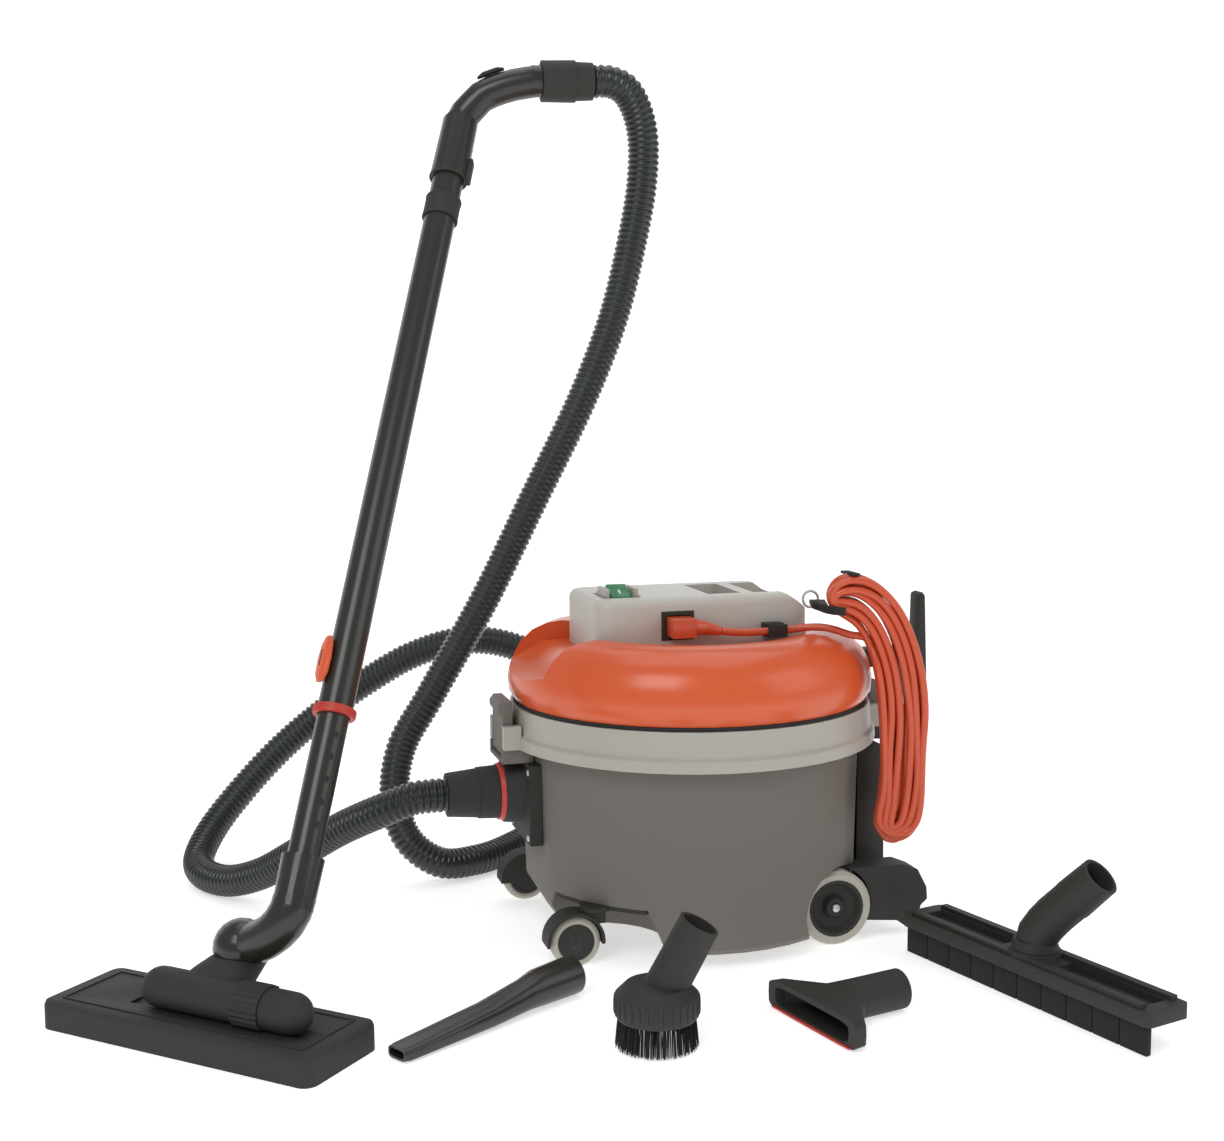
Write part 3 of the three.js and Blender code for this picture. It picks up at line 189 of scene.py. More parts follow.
def merged(name, parts):
    """One object from several (vertices, faces) pairs."""
    vertices, faces, start = [], [], 0
    for part_vertices, part_faces in parts:
        vertices.append(part_vertices)
        faces += [[v + start for v in face] for face in part_faces]
        start += len(part_vertices)
    return mesh_object(name, np.vstack(vertices), faces)


def block_arrays(centre, size, axes=None, power=6.0, rows=9, columns=20):
    """A rounded block: the superellipsoid |x|^p + |y|^p + |z|^p = 1, scaled to the half sizes."""
    axes = np.eye(3) if axes is None else np.array(axes, float)
    lat = np.linspace(-math.pi / 2, math.pi / 2, rows)[:, None]
    lon = np.linspace(-math.pi, math.pi, columns, endpoint=False)[None, :]
    unit = np.stack([np.cos(lat) * np.cos(lon), np.cos(lat) * np.sin(lon), np.sin(lat) + 0 * lon], -1)
    unit /= (np.abs(unit) ** power).sum(-1, keepdims=True) ** (1 / power)
    local = unit * np.asarray(size) / 2
    points = np.asarray(centre) + local @ axes
    return points.reshape(-1, 3), grid_faces(rows, columns)


def box_arrays(centre, size, axes=None):
    """A plain box: its centre plus or minus half its size along each of three axes."""
    axes = np.eye(3) if axes is None else np.array(axes, float)
    signs = np.array([[x, y, z] for x in (-1, 1) for y in (-1, 1) for z in (-1, 1)])
    points = np.asarray(centre) + (signs * np.asarray(size) / 2) @ axes
    faces = [[0, 1, 3, 2], [4, 6, 7, 5], [0, 4, 5, 1], [2, 3, 7, 6], [0, 2, 6, 4], [1, 5, 7, 3]]
    return points, faces


def finish_edges(made, width, segments=2):
    """Softens the edges of a piece with a bevel."""
    bevel = made.modifiers.new("edges", "BEVEL")
    bevel.width = width
    bevel.segments = segments
    bevel.limit_method = "ANGLE"
    return made


def place(made, body, slot, *replaced, material=None):
    """Sets a piece's slot, body and the nodes it stands for, and its material, which is the slot's
    own unless another is given."""
    made.data.materials.clear()
    made.data.materials.append(material or finish_of(slot))
    if replaced:
        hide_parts(*replaced)
    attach(made, body)
    return made


# ---------- shader groups ----------
def new_group(name, inputs, outputs):
    """An empty shader node group with named sockets."""
    group = bpy.data.node_groups.new(name, "ShaderNodeTree")
    for label, kind, value in inputs:
        socket = group.interface.new_socket(name=label, in_out="INPUT", socket_type=kind)
        if value is not None:
            socket.default_value = value
    for label, kind in outputs:
        group.interface.new_socket(name=label, in_out="OUTPUT", socket_type=kind)
    return group, group.nodes.new("NodeGroupInput"), group.nodes.new("NodeGroupOutput")


def add_node(tree, kind, inputs=None, **values):
    """A node with some of its properties and inputs set."""
    node = tree.nodes.new(kind)
    for key, value in values.items():
        setattr(node, key, value)
    for key, value in (inputs or {}).items():
        node.inputs[key].default_value = value
    return node


def grain_group():
    """Moulded grain: a noise and rounded cells of one scale added up, as a height and a normal."""
    name = "Moulded grain"
    if name in bpy.data.node_groups:
        return bpy.data.node_groups[name]
    sockets = [
        ("Vector", "NodeSocketVector", None),
        ("Scale", "NodeSocketFloat", 900.0),
        ("Strength", "NodeSocketFloat", 0.15),
    ]
    outputs = [("Height", "NodeSocketFloat"), ("Normal", "NodeSocketVector")]
    group, start, end = new_group(name, sockets, outputs)
    fine = add_node(group, "ShaderNodeTexNoise", {"Detail": 3.0})
    pits = add_node(group, "ShaderNodeTexVoronoi", feature="SMOOTH_F1")
    mix = add_node(group, "ShaderNodeMath", operation="ADD")
    bump = add_node(group, "ShaderNodeBump", {"Distance": 0.0004})
    link = group.links.new
    link(start.outputs["Vector"], fine.inputs["Vector"])
    link(start.outputs["Scale"], fine.inputs["Scale"])
    link(start.outputs["Vector"], pits.inputs["Vector"])
    link(start.outputs["Scale"], pits.inputs["Scale"])
    link(fine.outputs["Fac"], mix.inputs[0])
    link(pits.outputs["Distance"], mix.inputs[1])
    link(mix.outputs[0], bump.inputs["Height"])
    link(start.outputs["Strength"], bump.inputs["Strength"])
    link(mix.outputs[0], end.inputs["Height"])
    link(bump.outputs["Normal"], end.inputs["Normal"])
    return group


def drift_group():
    """Colour drift: slow lighter and darker patches, and scattered specks of dust."""
    name = "Colour drift"
    if name in bpy.data.node_groups:
        return bpy.data.node_groups[name]
    sockets = [
        ("Vector", "NodeSocketVector", None),
        ("Color", "NodeSocketColor", (0.5, 0.5, 0.5, 1)),
        ("Amount", "NodeSocketFloat", 0.1),
        ("Dust", "NodeSocketFloat", 0.1),
    ]
    outputs = [("Color", "NodeSocketColor"), ("Mask", "NodeSocketFloat")]
    group, start, end = new_group(name, sockets, outputs)
    link = group.links.new
    noise = add_node(group, "ShaderNodeTexNoise", {"Scale": 14.0, "Detail": 5.0})
    spread = add_node(group, "ShaderNodeMapRange", {"From Min": 0.3, "From Max": 0.7, "To Min": -1.0})
    times = add_node(group, "ShaderNodeMath", {2: 1.0}, operation="MULTIPLY_ADD")
    tint = add_node(group, "ShaderNodeVectorMath", operation="SCALE")
    specks = add_node(group, "ShaderNodeTexNoise", {"Scale": 160.0, "Detail": 6.0})
    shape = add_node(group, "ShaderNodeMapRange", {"From Min": 0.5, "From Max": 0.75})
    dusty = add_node(group, "ShaderNodeMath", operation="MULTIPLY")
    veil = add_node(group, "ShaderNodeMix", {"B": (0.42, 0.38, 0.31, 1)}, data_type="RGBA")
    link(start.outputs["Vector"], noise.inputs["Vector"])
    link(start.outputs["Vector"], specks.inputs["Vector"])
    link(noise.outputs["Fac"], spread.inputs["Value"])
    link(spread.outputs["Result"], times.inputs[0])
    link(start.outputs["Amount"], times.inputs[1])
    link(start.outputs["Color"], tint.inputs[0])
    link(times.outputs[0], tint.inputs["Scale"])
    link(specks.outputs["Fac"], shape.inputs["Value"])
    link(shape.outputs["Result"], dusty.inputs[0])
    link(start.outputs["Dust"], dusty.inputs[1])
    link(dusty.outputs[0], veil.inputs["Factor"])
    link(tint.outputs["Vector"], veil.inputs["A"])
    link(veil.outputs["Result"], end.inputs["Color"])
    link(noise.outputs["Fac"], end.inputs["Mask"])
    return group


LEAST_ROUGHNESS = 0.04
GLOSSIER, DULLER = 0.06, 0.08  # how far the roughness wanders to either side


def plain_material(name, colour, roughness, grain, scale, drift, dust, metal=0.0, coat=0.0):
    """A moulded or metal surface with grain, colour drift and uneven gloss."""
    if name in bpy.data.materials:
        return bpy.data.materials[name]
    material = bpy.data.materials.new(name)
    material.use_nodes = True
    tree = material.node_tree
    shader = tree.nodes["Principled BSDF"]
    where = add_node(tree, "ShaderNodeTexCoord")
    ridges = {"Scale": scale, "Strength": grain}
    surface = add_node(tree, "ShaderNodeGroup", ridges, node_tree=grain_group())
    tints = {"Color": (*colour, 1), "Amount": drift, "Dust": dust}
    patches = add_node(tree, "ShaderNodeGroup", tints, node_tree=drift_group())
    limits = {"From Min": 0.3, "From Max": 0.7}
    limits["To Min"] = max(LEAST_ROUGHNESS, roughness - GLOSSIER)
    limits["To Max"] = roughness + DULLER
    gloss = add_node(tree, "ShaderNodeMapRange", limits)
    link = tree.links.new
    link(where.outputs["Object"], surface.inputs["Vector"])
    link(where.outputs["Object"], patches.inputs["Vector"])
    link(patches.outputs["Mask"], gloss.inputs["Value"])
    link(patches.outputs["Color"], shader.inputs["Base Color"])
    link(gloss.outputs["Result"], shader.inputs["Roughness"])
    link(surface.outputs["Normal"], shader.inputs["Normal"])
    shader.inputs["Metallic"].default_value = metal
    shader.inputs["Coat Weight"].default_value = coat
    shader.inputs["Coat Roughness"].default_value = 0.12
    return material


# slot: colour, roughness, grain, grain scale, drift, dust, metal, coat
FINISHES = {
    "taupe_plastic": ((0.150, 0.135, 0.108), 0.46, 0.22, 1100, 0.08, 0.06, 0, 0),
    "grey_plastic": ((0.33, 0.305, 0.255), 0.44, 0.12, 900, 0.06, 0.05, 0, 0),
    "console_plastic": ((0.40, 0.385, 0.35), 0.48, 0.14, 900, 0.05, 0.04, 0, 0),
    "orange_plastic": ((0.60, 0.062, 0.014), 0.33, 0.06, 500, 0.06, 0.02, 0, 0.25),
    "black_plastic": ((0.017, 0.0165, 0.011), 0.40, 0.16, 1200, 0.12, 0.05, 0, 0),
    "tube_black": ((0.012, 0.012, 0.009), 0.18, 0.03, 700, 0.10, 0.03, 0, 0.3),
    "hose_plastic": ((0.008, 0.0095, 0.0095), 0.28, 0.06, 900, 0.12, 0.05, 0, 0),
    "cord_jacket": ((0.58, 0.062, 0.020), 0.32, 0.05, 1500, 0.06, 0.02, 0, 0.1),
    "red_plastic": ((0.55, 0.030, 0.022), 0.36, 0.08, 900, 0.05, 0.02, 0, 0),
    "green_plastic": ((0.010, 0.150, 0.052), 0.22, 0.03, 700, 0.05, 0.02, 0, 0.3),
    "orange_button": ((0.72, 0.16, 0.03), 0.34, 0.06, 900, 0.05, 0.02, 0, 0.1),
    "steel_bar": ((0.62, 0.62, 0.61), 0.24, 0.05, 1500, 0.06, 0.02, 1, 0),
    "grey_tyre": ((0.42, 0.395, 0.335), 0.66, 0.30, 1300, 0.07, 0.12, 0, 0),
    "bag_paper": ((0.62, 0.55, 0.43), 0.85, 0.35, 600, 0.08, 0.05, 0, 0),
    "bristle_fibre": ((0.016, 0.015, 0.013), 0.62, 0.35, 2200, 0.25, 0.08, 0, 0),
    "lint_fabric": ((0.50, 0.035, 0.022), 0.85, 0.60, 1800, 0.15, 0.03, 0, 0),
    "seal_rubber": ((0.014, 0.014, 0.014), 0.60, 0.15, 1100, 0.10, 0.05, 0, 0),
    "fan_alloy": ((0.60, 0.60, 0.60), 0.38, 0.15, 900, 0.08, 0.03, 1, 0),
}


def finish_of(slot):
    """The material of one of the record's slots."""
    return plain_material(slot, *FINISHES[slot])


# ---------- hose ----------
HOSE_POINTS = [
    [-262.1, 0, 152],
    [-280, 0, 152],
    [-297, 2, 150],
    [-322, 12, 139],
    [-362, 52, 112],
    [-405, 108, 72],
    [-443, 158, 38],
    [-476, 200, 21],
    [-500, 243, 19],
    [-505, 284, 25],
    [-488, 322, 48],
    [-453, 348, 84],
    [-402, 366, 131],
    [-347, 377, 172],
    [-292, 380, 207],
    [-238, 377, 236],
    [-182, 370, 252],
    [-126, 360, 248],
    [-72, 350, 221],
    [-34, 342, 172],
    [-28, 332, 115],
    [-52, 315, 62],
    [-96, 285, 29],
    [-145, 245, 19],
    [-192, 209, 18.5],
    [-238, 193, 24],
    [-273, 198, 52],
    [-286, 208, 98],
    [-277, 214, 155],
    [-242, 212, 216],
    [-179, 205, 325],
    [-122, 197, 439],
    [-66, 187, 553],
    [-31, 180, 643],
    [-10, 173, 730],
    [-1, 163, 795],
    [-3, 153, 843],
    [-14, 145, 874],
    [-28, 140.2, 891],
    [-45.5, 139.7, 897.6],
    [-63.4, 141.1, 897.2],
]
HOSE_STEPS = 6  # rings of points to one corrugation
HOSE_INSET = 0.0002  # ridges below the hose's stated radius
GROOVE_POWER = 0.8


def build_hose(pitch, depth):
    """The corrugated hose: a tube whose radius falls by depth in a rounded groove once a pitch,
    r = R - depth * (1 - |cos(pi s / pitch)|^0.8), with s the way along the hose."""
    path = smooth_path(points_mm(HOSE_POINTS), pitch / HOSE_STEPS)
    run = np.linspace(0, path_length(path), len(path))
    wave = np.abs(np.cos(math.pi * run / pitch)) ** GROOVE_POWER
    radii = HOSE_RADIUS - HOSE_INSET - depth * (1 - wave)
    made = tube("corrugated_hose", path, radii, 22)
    place(made, "canister", "hose_plastic", "hose")
    return made


# ---------- mains cord ----------
LEAD_POINTS = [
    [8.5, -79, 320.9],
    [24, -80.4, 319],
    [40, -81.8, 318.6],
    [54, -82, 319],
    [67, -82, 319],
    [80, -82, 319.2],
    [94, -86, 321.5],
    [108, -94, 323],
    [123, -102.6, 320.8],
    [138.75, -109.22, 314.5],
    [153.96, -114.16, 314.5],
]
# The middle line of the hank in its own plane: outward from the canister's axis, height.
HANK_LINE = [
    [143, 352],
    [156, 357],
    [172, 353],
    [190, 337],
    [203, 313],
    [213, 280],
    [218, 240],
    [218, 200],
    [217, 160],
    [213, 125],
    [208, 108],
]
HANK_LAYERS = [-0.0118, -0.0039, 0.0039, 0.0118]  # across the hank's thickness
HANK_RINGS = [0.0205, 0.0125, 0.0048]  # half widths of the nested loops
LOOP_POINTS = 56  # points round one loop
EASE_POINTS = 8  # how many of them lead over into the next loop
ABOVE_TOP, BELOW_BOTTOM = 0.004, 0.012  # how far the sides run past where the rounds should start
HELD_HEIGHT, HELD_FADE = 0.300, 0.08  # above this height the strands lie still
SAG_HEIGHT, SAG_FADE, SAG = 0.160, 0.06, 0.016  # below this height the loops end unevenly
SLOW_WANDER, QUICK_WANDER = 0.0016, 0.0007
# The last stretch down to the plug: outward, across and height, in metres.
TAIL_LINE = np.array(
    [[0.206, -0.0500, 0.262], [0.211, -0.0440, 0.238], [0.214, -0.0407, 0.216], [0.214, -0.0407, 0.1945]]
)
CORD_INSET = 0.0001  # surface below the cord's stated radius
CORD_ROUNDINGS = 3  # times that each point is moved towards its neighbours


def hank_to_part(x, y, z):
    """Hank-plane coordinates in metres turned into the part's frame."""
    c, s = math.cos(HANK_TURN), math.sin(HANK_TURN)
    return np.stack([c * x - s * y, s * x + c * y, z], -1)


def oval(half):
    """One closed loop round the hank's middle line: out along one side at distance half, round
    the bottom in a half circle, back along the other side and over the top."""
    line = np.array(HANK_LINE, float) / 1000
    spine = smooth_path(np.column_stack([line[:, 0], 0 * line[:, 0], line[:, 1]]), 0.004)[:, [0, 2]]
    run = np.concatenate([[0], np.cumsum(np.linalg.norm(np.diff(spine, axis=0), axis=1))])
    keep = (run >= half - ABOVE_TOP) & (run <= run[-1] - half + BELOW_BOTTOM)
    ways = np.gradient(spine, axis=0)
    ways /= np.linalg.norm(ways, axis=1)[:, None]
    side = np.stack([-ways[:, 1], ways[:, 0]], -1)
    spine, ways, side = spine[keep], ways[keep], side[keep]
    turn = np.linspace(0, math.pi, 9)[1:-1, None]
    bottom = spine[-1] + half * (-side[-1] * np.cos(turn) + ways[-1] * np.sin(turn))
    top = spine[0] + half * (side[0] * np.cos(turn) - ways[0] * np.sin(turn))
    loop = np.vstack([spine - side * half, bottom, (spine + side * half)[::-1], top])
    loop = np.vstack([loop, loop[:1]])
    closed = np.column_stack([loop, 0 * loop[:, 0]])
    return even_steps(closed, path_length(closed) / LOOP_POINTS)[:-1, :2]


def hank_path(rng):
    """The hank's whole run: loops nested in each layer, layer after layer, each loop easing into
    the next over its last part, with a small seeded wander."""
    rows = []
    levels = []
    for i, layer in enumerate(HANK_LAYERS):
        levels += [(layer, ring) for ring in HANK_RINGS[:: 1 if i % 2 == 0 else -1]]
    loops = [oval(ring) for _, ring in levels]
    part = np.clip((np.arange(LOOP_POINTS) - (LOOP_POINTS - EASE_POINTS)) / EASE_POINTS, 0, 1)
    part = part * part * (3 - 2 * part)
    angle = np.linspace(0, 2 * math.pi, LOOP_POINTS)
    for i, ((layer, _), loop) in enumerate(zip(levels, loops)):
        following = loops[i + 1] if i + 1 < len(loops) else loop
        next_layer = levels[i + 1][0] if i + 1 < len(levels) else layer
        xz = loop * (1 - part[:, None]) + following * part[:, None]
        y = layer * (1 - part) + next_layer * part
        phase = rng.uniform(0, 2 * math.pi, 2)
        free = np.clip((HELD_HEIGHT - xz[:, 1]) / HELD_FADE, 0, 1)
        slow, quick = np.sin(2 * angle + phase[0]), np.sin(5 * angle + phase[1])
        wander = free * (SLOW_WANDER * slow + QUICK_WANDER * quick)
        low = np.clip((SAG_HEIGHT - xz[:, 1]) / SAG_FADE, 0, 1)
        lifted = xz[:, 1] + low * rng.uniform(0, SAG)
        rows.append(hank_to_part(xz[:, 0] + wander, HANK_PLANE + y, lifted - TUB_LIFT))
    return np.vstack(rows)


def build_cord():
    """The mains cord: the lead through the clip, the hung hank, and down to the plug."""
    rng = np.random.default_rng(7)
    lead = smooth_path(points_mm(LEAD_POINTS), 0.004)
    loops = hank_path(rng)
    start = np.argmin(np.linalg.norm(loops[:LOOP_POINTS] - lead[-1], axis=1)) + 2
    tail = hank_to_part(TAIL_LINE[:, 0], TAIL_LINE[:, 1], TAIL_LINE[:, 2] - TUB_LIFT)
    last_loop = len(loops) - LOOP_POINTS
    stop = last_loop + np.argmin(np.linalg.norm(loops[last_loop:] - tail[0], axis=1))
    path = even_steps(np.vstack([lead, loops[start:stop], tail]), 0.005)
    for _ in range(CORD_ROUNDINGS):
        path[1:-1] = (path[:-2] + 2 * path[1:-1] + path[2:]) / 4
    made = tube("mains_cord", path, CORD_RADIUS - CORD_INSET, 10)
    place(made, "head", "cord_jacket", "cord_lead", "cord_hank")
    return made


# The tape's middle line in the hank's turned axes, in millimetres: outward, across and height.
TAPE_LINE = [[128, -36, 343], [133, -52, 343], [138, -70, 343], [146, -82.5, 343], [157, -84.6, 342.5]]
# Corners of the tape's section, as shares of its half width and half thickness.
TAPE_SECTION = [(1, 0.6), (1, -0.6), (0.6, -1), (-0.6, -1), (-1, -0.6), (-1, 0.6), (-0.6, 1), (0.6, 1)]
TAPE_HALF_WIDTH, TAPE_HALF_THICKNESS = 0.0042, 0.0010


def build_strap():
    """The strap: a flat tape from the wire ring round the near side of the hank, and the tip of
    the tape standing up over the top."""
    line = smooth_path(np.array(TAPE_LINE) / 1000, 0.003)
    ways = np.gradient(line, axis=0)
    ways /= np.linalg.norm(ways, axis=1)[:, None]
    upright = np.array([0.0, 0.0, 1.0])
    flat = np.cross(ways, upright)
    rings = []
    for centre, way in zip(line, flat):
        for a, b in TAPE_SECTION:
            rings.append(centre + upright * TAPE_HALF_WIDTH * a + way * TAPE_HALF_THICKNESS * b)
    rings = np.array(rings)
    sides = len(TAPE_SECTION)
    last = sides * (len(line) - 1)
    faces = grid_faces(len(line), sides)
    faces += [list(range(sides))[::-1], [last + i for i in range(sides)]]
    placed = hank_to_part(rings[:, 0], rings[:, 1], rings[:, 2] - TUB_LIFT)
    tip = box_arrays(hank_to_part(0.163, HANK_PLANE, 0.3790 - TUB_LIFT), (0.0085, 0.030, 0.0024))
    made = outward(merged("hank_tape", [(placed, faces), tip]))
    place(made, "head", "seal_rubber")


# ---------- wand ----------
def on_wand(t):
    """A point on the wand's centreline, t metres from the top of the floor tool's neck."""
    return NECK_TOP + WAND_WAY * t


def square_to_wand(way):
    """A way with its part along the wand taken off, then made one long."""
    way = np.array(way, float)
    way = way - WAND_WAY * (way @ WAND_WAY)
    return way / np.linalg.norm(way)


def wand_axes(way):
    """Axes along the wand, round it, and outwards in the given way."""
    return [WAND_WAY, np.cross(way, WAND_WAY), way]


THUMB_WAY = square_to_wand([-0.914, -0.396, 0.0])  # towards the release button
SIDE_WAY = np.cross(WAND_WAY, THUMB_WAY)
HOLES_WAY = square_to_wand([0.22, -0.97, 0.0])  # towards the latching holes
CLIP_WAY = square_to_wand([0.95, -0.31, 0.0])  # towards the handle's clip
RING_RIBS = 40
HOLES = 5
HOLE_PITCH = 0.021
HOLE_DEPTH = 0.0004  # from the tube's surface in to a hole's middle
WAND_SEAMS = [(0.684, 0.0190), (0.707, 0.0190), (0.7352, 0.0204), (0.139, 0.0192)]  # place, radius


def band(radius, depth, half, half_foot):
    """Profile of a low band round a tube: a flat top, and a foot that is depth below it."""
    foot = radius - depth
    return [[foot, -half_foot], [radius, -half], [radius, half], [foot, half_foot]]


def add_ring_ribs():
    """Rounded ribs round the red ring, each lying along the wand."""
    ribs = []
    for a in np.arange(RING_RIBS) / RING_RIBS * 2 * math.pi:
        way = THUMB_WAY * math.cos(a) + SIDE_WAY * math.sin(a)
        axes = [WAND_WAY, np.cross(WAND_WAY, way), way]  # the middle one runs the other way round
        centre = on_wand(0.136) + way * 0.0196
        ribs.append(block_arrays(centre, (0.0074, 0.0017, 0.0012), axes, 4, 5, 8))
    place(merged("ring_ribs", ribs), "canister", "red_plastic")


def add_latching_holes():
    """A row of dark ovals down the lower tube, sunk into its surface."""
    holes = []
    for i in range(HOLES):
        centre = on_wand(0.112 - HOLE_PITCH * i) + HOLES_WAY * (LOWER_RADIUS - HOLE_DEPTH)
        holes.append(block_arrays(centre, (0.0085, 0.0046, 0.0009), wand_axes(HOLES_WAY), 2.5, 7, 16))
    place(merged("latching_holes", holes), "wand_lower", "seal_rubber")


def add_wand_seams():
    """Low bands where the wand's parts meet."""
    seams = []
    for t, radius in WAND_SEAMS:
        seams.append(turned_arrays(on_wand(t), WAND_WAY, band(radius, 0.002, 0.0008, 0.0011), 40))
    place(merged("wand_seams", seams), "canister", "black_plastic")


def add_handle_clip():
    """A small block on the far side of the handle's foot."""
    block = box_arrays(on_wand(0.7470) + CLIP_WAY * 0.0208, (0.028, 0.012, 0.0052), wand_axes(CLIP_WAY))
    clip = merged("handle_clip", [block])
    place(finish_edges(clip, 0.0015, 3), "canister", "black_plastic")


def add_button_mark():
    """A short dark line on the release button."""
    line = box_arrays(on_wand(0.182) + THUMB_WAY * 0.02515, (0.015, 0.0012, 0.0006), wand_axes(THUMB_WAY))
    place(merged("button_mark", [line]), "button", "seal_rubber")


def build_wand():
    """The wand's small things: ribs, holes, seams, clip and button mark."""
    add_ring_ribs()
    add_latching_holes()
    add_wand_seams()
    add_handle_clip()
    add_button_mark()


# ---------- bristles ----------
DUSTING_PLACE = np.array([-0.136, -0.325])  # the dusting brush's middle on the floor
TUFTS_A_RING = 46
TUFT_RINGS = (0.0292, 0.0325)
TUFT_SLANT = 0.0022  # how much further out the tip is than the foot
BLADE_BLOCKS = 10
BLADE_PITCH = 0.0309
UP = np.array([0.0, 0.0, 1.0])


def level_axes(degrees):
    """Axes turned about the vertical: along, across and up."""
    turn = math.radians(degrees)
    along = np.array([math.cos(turn), math.sin(turn), 0.0])
    across = np.array([-math.sin(turn), math.cos(turn), 0.0])
    return [along, across, UP]


def tuft_arrays(foot, tip, radius, rng, strands=7):
    """A tuft: thin tapered fibres from foot to tip, spread a little at the tip."""
    parts = []
    foot, tip = np.array(foot), np.array(tip)
    for _ in range(strands):
        a, r = rng.uniform(0, 2 * math.pi), radius * math.sqrt(rng.uniform(0, 1))
        offset = np.array([r * math.cos(a), r * math.sin(a), 0])
        end = tip + offset * 1.35 + np.array([0, 0, rng.uniform(0, 0.0012)])
        line = np.stack([foot + offset, (foot + end) / 2 + offset * 0.6, end])
        parts.append(tube_arrays(line, [0.00042, 0.0004, 0.00028], 5))
    return parts


def add_dusting_tufts():
    """Two rings of tufts under the dusting brush, the second turned by half a step."""
    rng = np.random.default_rng(11)
    parts = []
    for ring, radius in enumerate(TUFT_RINGS):
        for i in range(TUFTS_A_RING):
            a = 2 * math.pi * (i + ring / 2) / TUFTS_A_RING
            way = np.array([math.cos(a), math.sin(a)])
            top = [*(DUSTING_PLACE + way * radius), 0.026 - TUB_LIFT + 0.0005]
            tip = [*(DUSTING_PLACE + way * (radius + TUFT_SLANT)), -TUB_LIFT + 0.0004]
            parts += tuft_arrays(top, tip, 0.0017, rng)
    place(merged("dusting_tufts", parts), "dusting", "bristle_fibre", "dusting_bristles")


def add_floor_blade():
    """The hard-floor brush's front blade, notched into blocks."""
    axes = level_axes(-75.2)
    along, across, _ = axes
    middle = np.array([0.236, -0.314, 0.0134 - TUB_LIFT])
    parts = []
    for i in range(BLADE_BLOCKS):
        centre = middle + along * (-0.13905 + BLADE_PITCH * i) - across * 0.0192
        parts.append(box_arrays(centre, (0.0299, 0.0062, 0.0262), axes))
    made = finish_edges(merged("floor_blade", parts), 0.0009, 2)
    place(made, "hard_floor", "bristle_fibre", "floor_bristles")


def build_bristles():
    """The dusting brush's tufts and the hard-floor brush's blade."""
    add_dusting_tufts()
    add_floor_blade()


# ---------- small fittings ----------
SIDES = ((-1, "near"), (1, "far"))
FLUTES = 30
RELIEF_RIBS = 6
HUB_PROFILE = [
    [0.0, 0.0016],
    [0.004, 0.0016],
    [0.0055, 0.0006],
    [0.014, 0.0004],
    [0.0172, 0.0012],
    [0.0186, 0.0],
]
ROCKER_TILT = math.radians(24)
ROCKER_SEAT = np.array([-0.084, -0.0240, 0.3560 - TUB_LIFT])


def dome_screw(centre, axis, radius):
    """A pan-head screw: a low dome with a rolled edge."""
    dome = [[0.0, 0.0012], [radius * 0.5, 0.0011], [radius * 0.85, 0.0007]]
    edge = [[radius, 0.0], [radius, -0.0006]]
    return turned_arrays(centre, axis, dome + edge, 20)


def add_plate_screws():
    """Four screws at the corners of the inlet's plate."""
    screws = []
    for y in (-0.037, 0.037):
        for z in (0.110, 0.178):
            screws.append(dome_screw([-0.1845, y, z - TUB_LIFT], [-1, 0, 0], 0.0036))
    place(merged("plate_screws", screws), "canister", "steel_bar")


def add_skirt_flutes():
    """Upright flutes round the dusting brush's skirt."""
    middle = np.array([*DUSTING_PLACE, 0.0375 - TUB_LIFT])
    flutes = []
    for i in range(FLUTES):
        a = 2 * math.pi * i / FLUTES
        way = np.array([math.cos(a), math.sin(a), 0.0])
        axes = [np.cross(UP, way), way, UP]
        flutes.append(block_arrays(middle + way * 0.0370, (0.0034, 0.0022, 0.0160), axes, 3, 7, 12))
    place(merged("skirt_flutes", flutes), "dusting", "black_plastic")


def add_relief_ribs():
    """Ribs round the mains cord where it leaves the connector, each smaller than the last."""
    ribs = []
    for i in range(RELIEF_RIBS):
        centre = [-0.0085 + 0.0026 * i, -0.079, 0.3247 - 0.0006 * i - TUB_LIFT]
        profile = band(0.0069 - 0.00032 * i, 0.0015, 0.0005, 0.0007)
        ribs.append(turned_arrays(centre, [1, 0, -0.25], profile, 24))
    place(merged("relief_ribs", ribs), "head", "cord_jacket")


def add_hub_pieces():
    """A steel cap on each rear wheel's hub, and the dished hubs on both faces of each roller."""
    for side, name in SIDES:
        vertices, faces = dome_screw([0.114, side * 0.1335, 0.0385 - TUB_LIFT], [0, side, 0], 0.0042)
        place(mesh_object("hub_cap_" + name, vertices, faces), "wheel_" + name, "steel_bar")
    for side, name in SIDES:
        hubs = []
        for face in (-1, 1):
            centre = [-0.156, side * 0.112 + face * 0.0087, 0.025 - TUB_LIFT]
            hubs.append(turned_arrays(centre, [0, face, 0], HUB_PROFILE, 32))
        place(merged("caster_hub_" + name, hubs), "roller_" + name, "black_plastic")


def add_plate_ridge():
    """The raised border on top of the floor tool's plate."""
    axes = level_axes(-42.7)
    along, across, _ = axes
    middle = np.array([-0.512, -0.197, 0.0264 - TUB_LIFT])
    ridge = []
    for side in (-1, 1):
        ridge.append(box_arrays(middle + across * side * 0.036, (0.268, 0.0022, 0.0014), axes))
        ridge.append(box_arrays(middle + along * side * 0.133, (0.0022, 0.072, 0.0014), axes))
    made = finish_edges(merged("plate_ridge", ridge), 0.0005, 2)
    place(made, "tool_plate", "black_plastic")


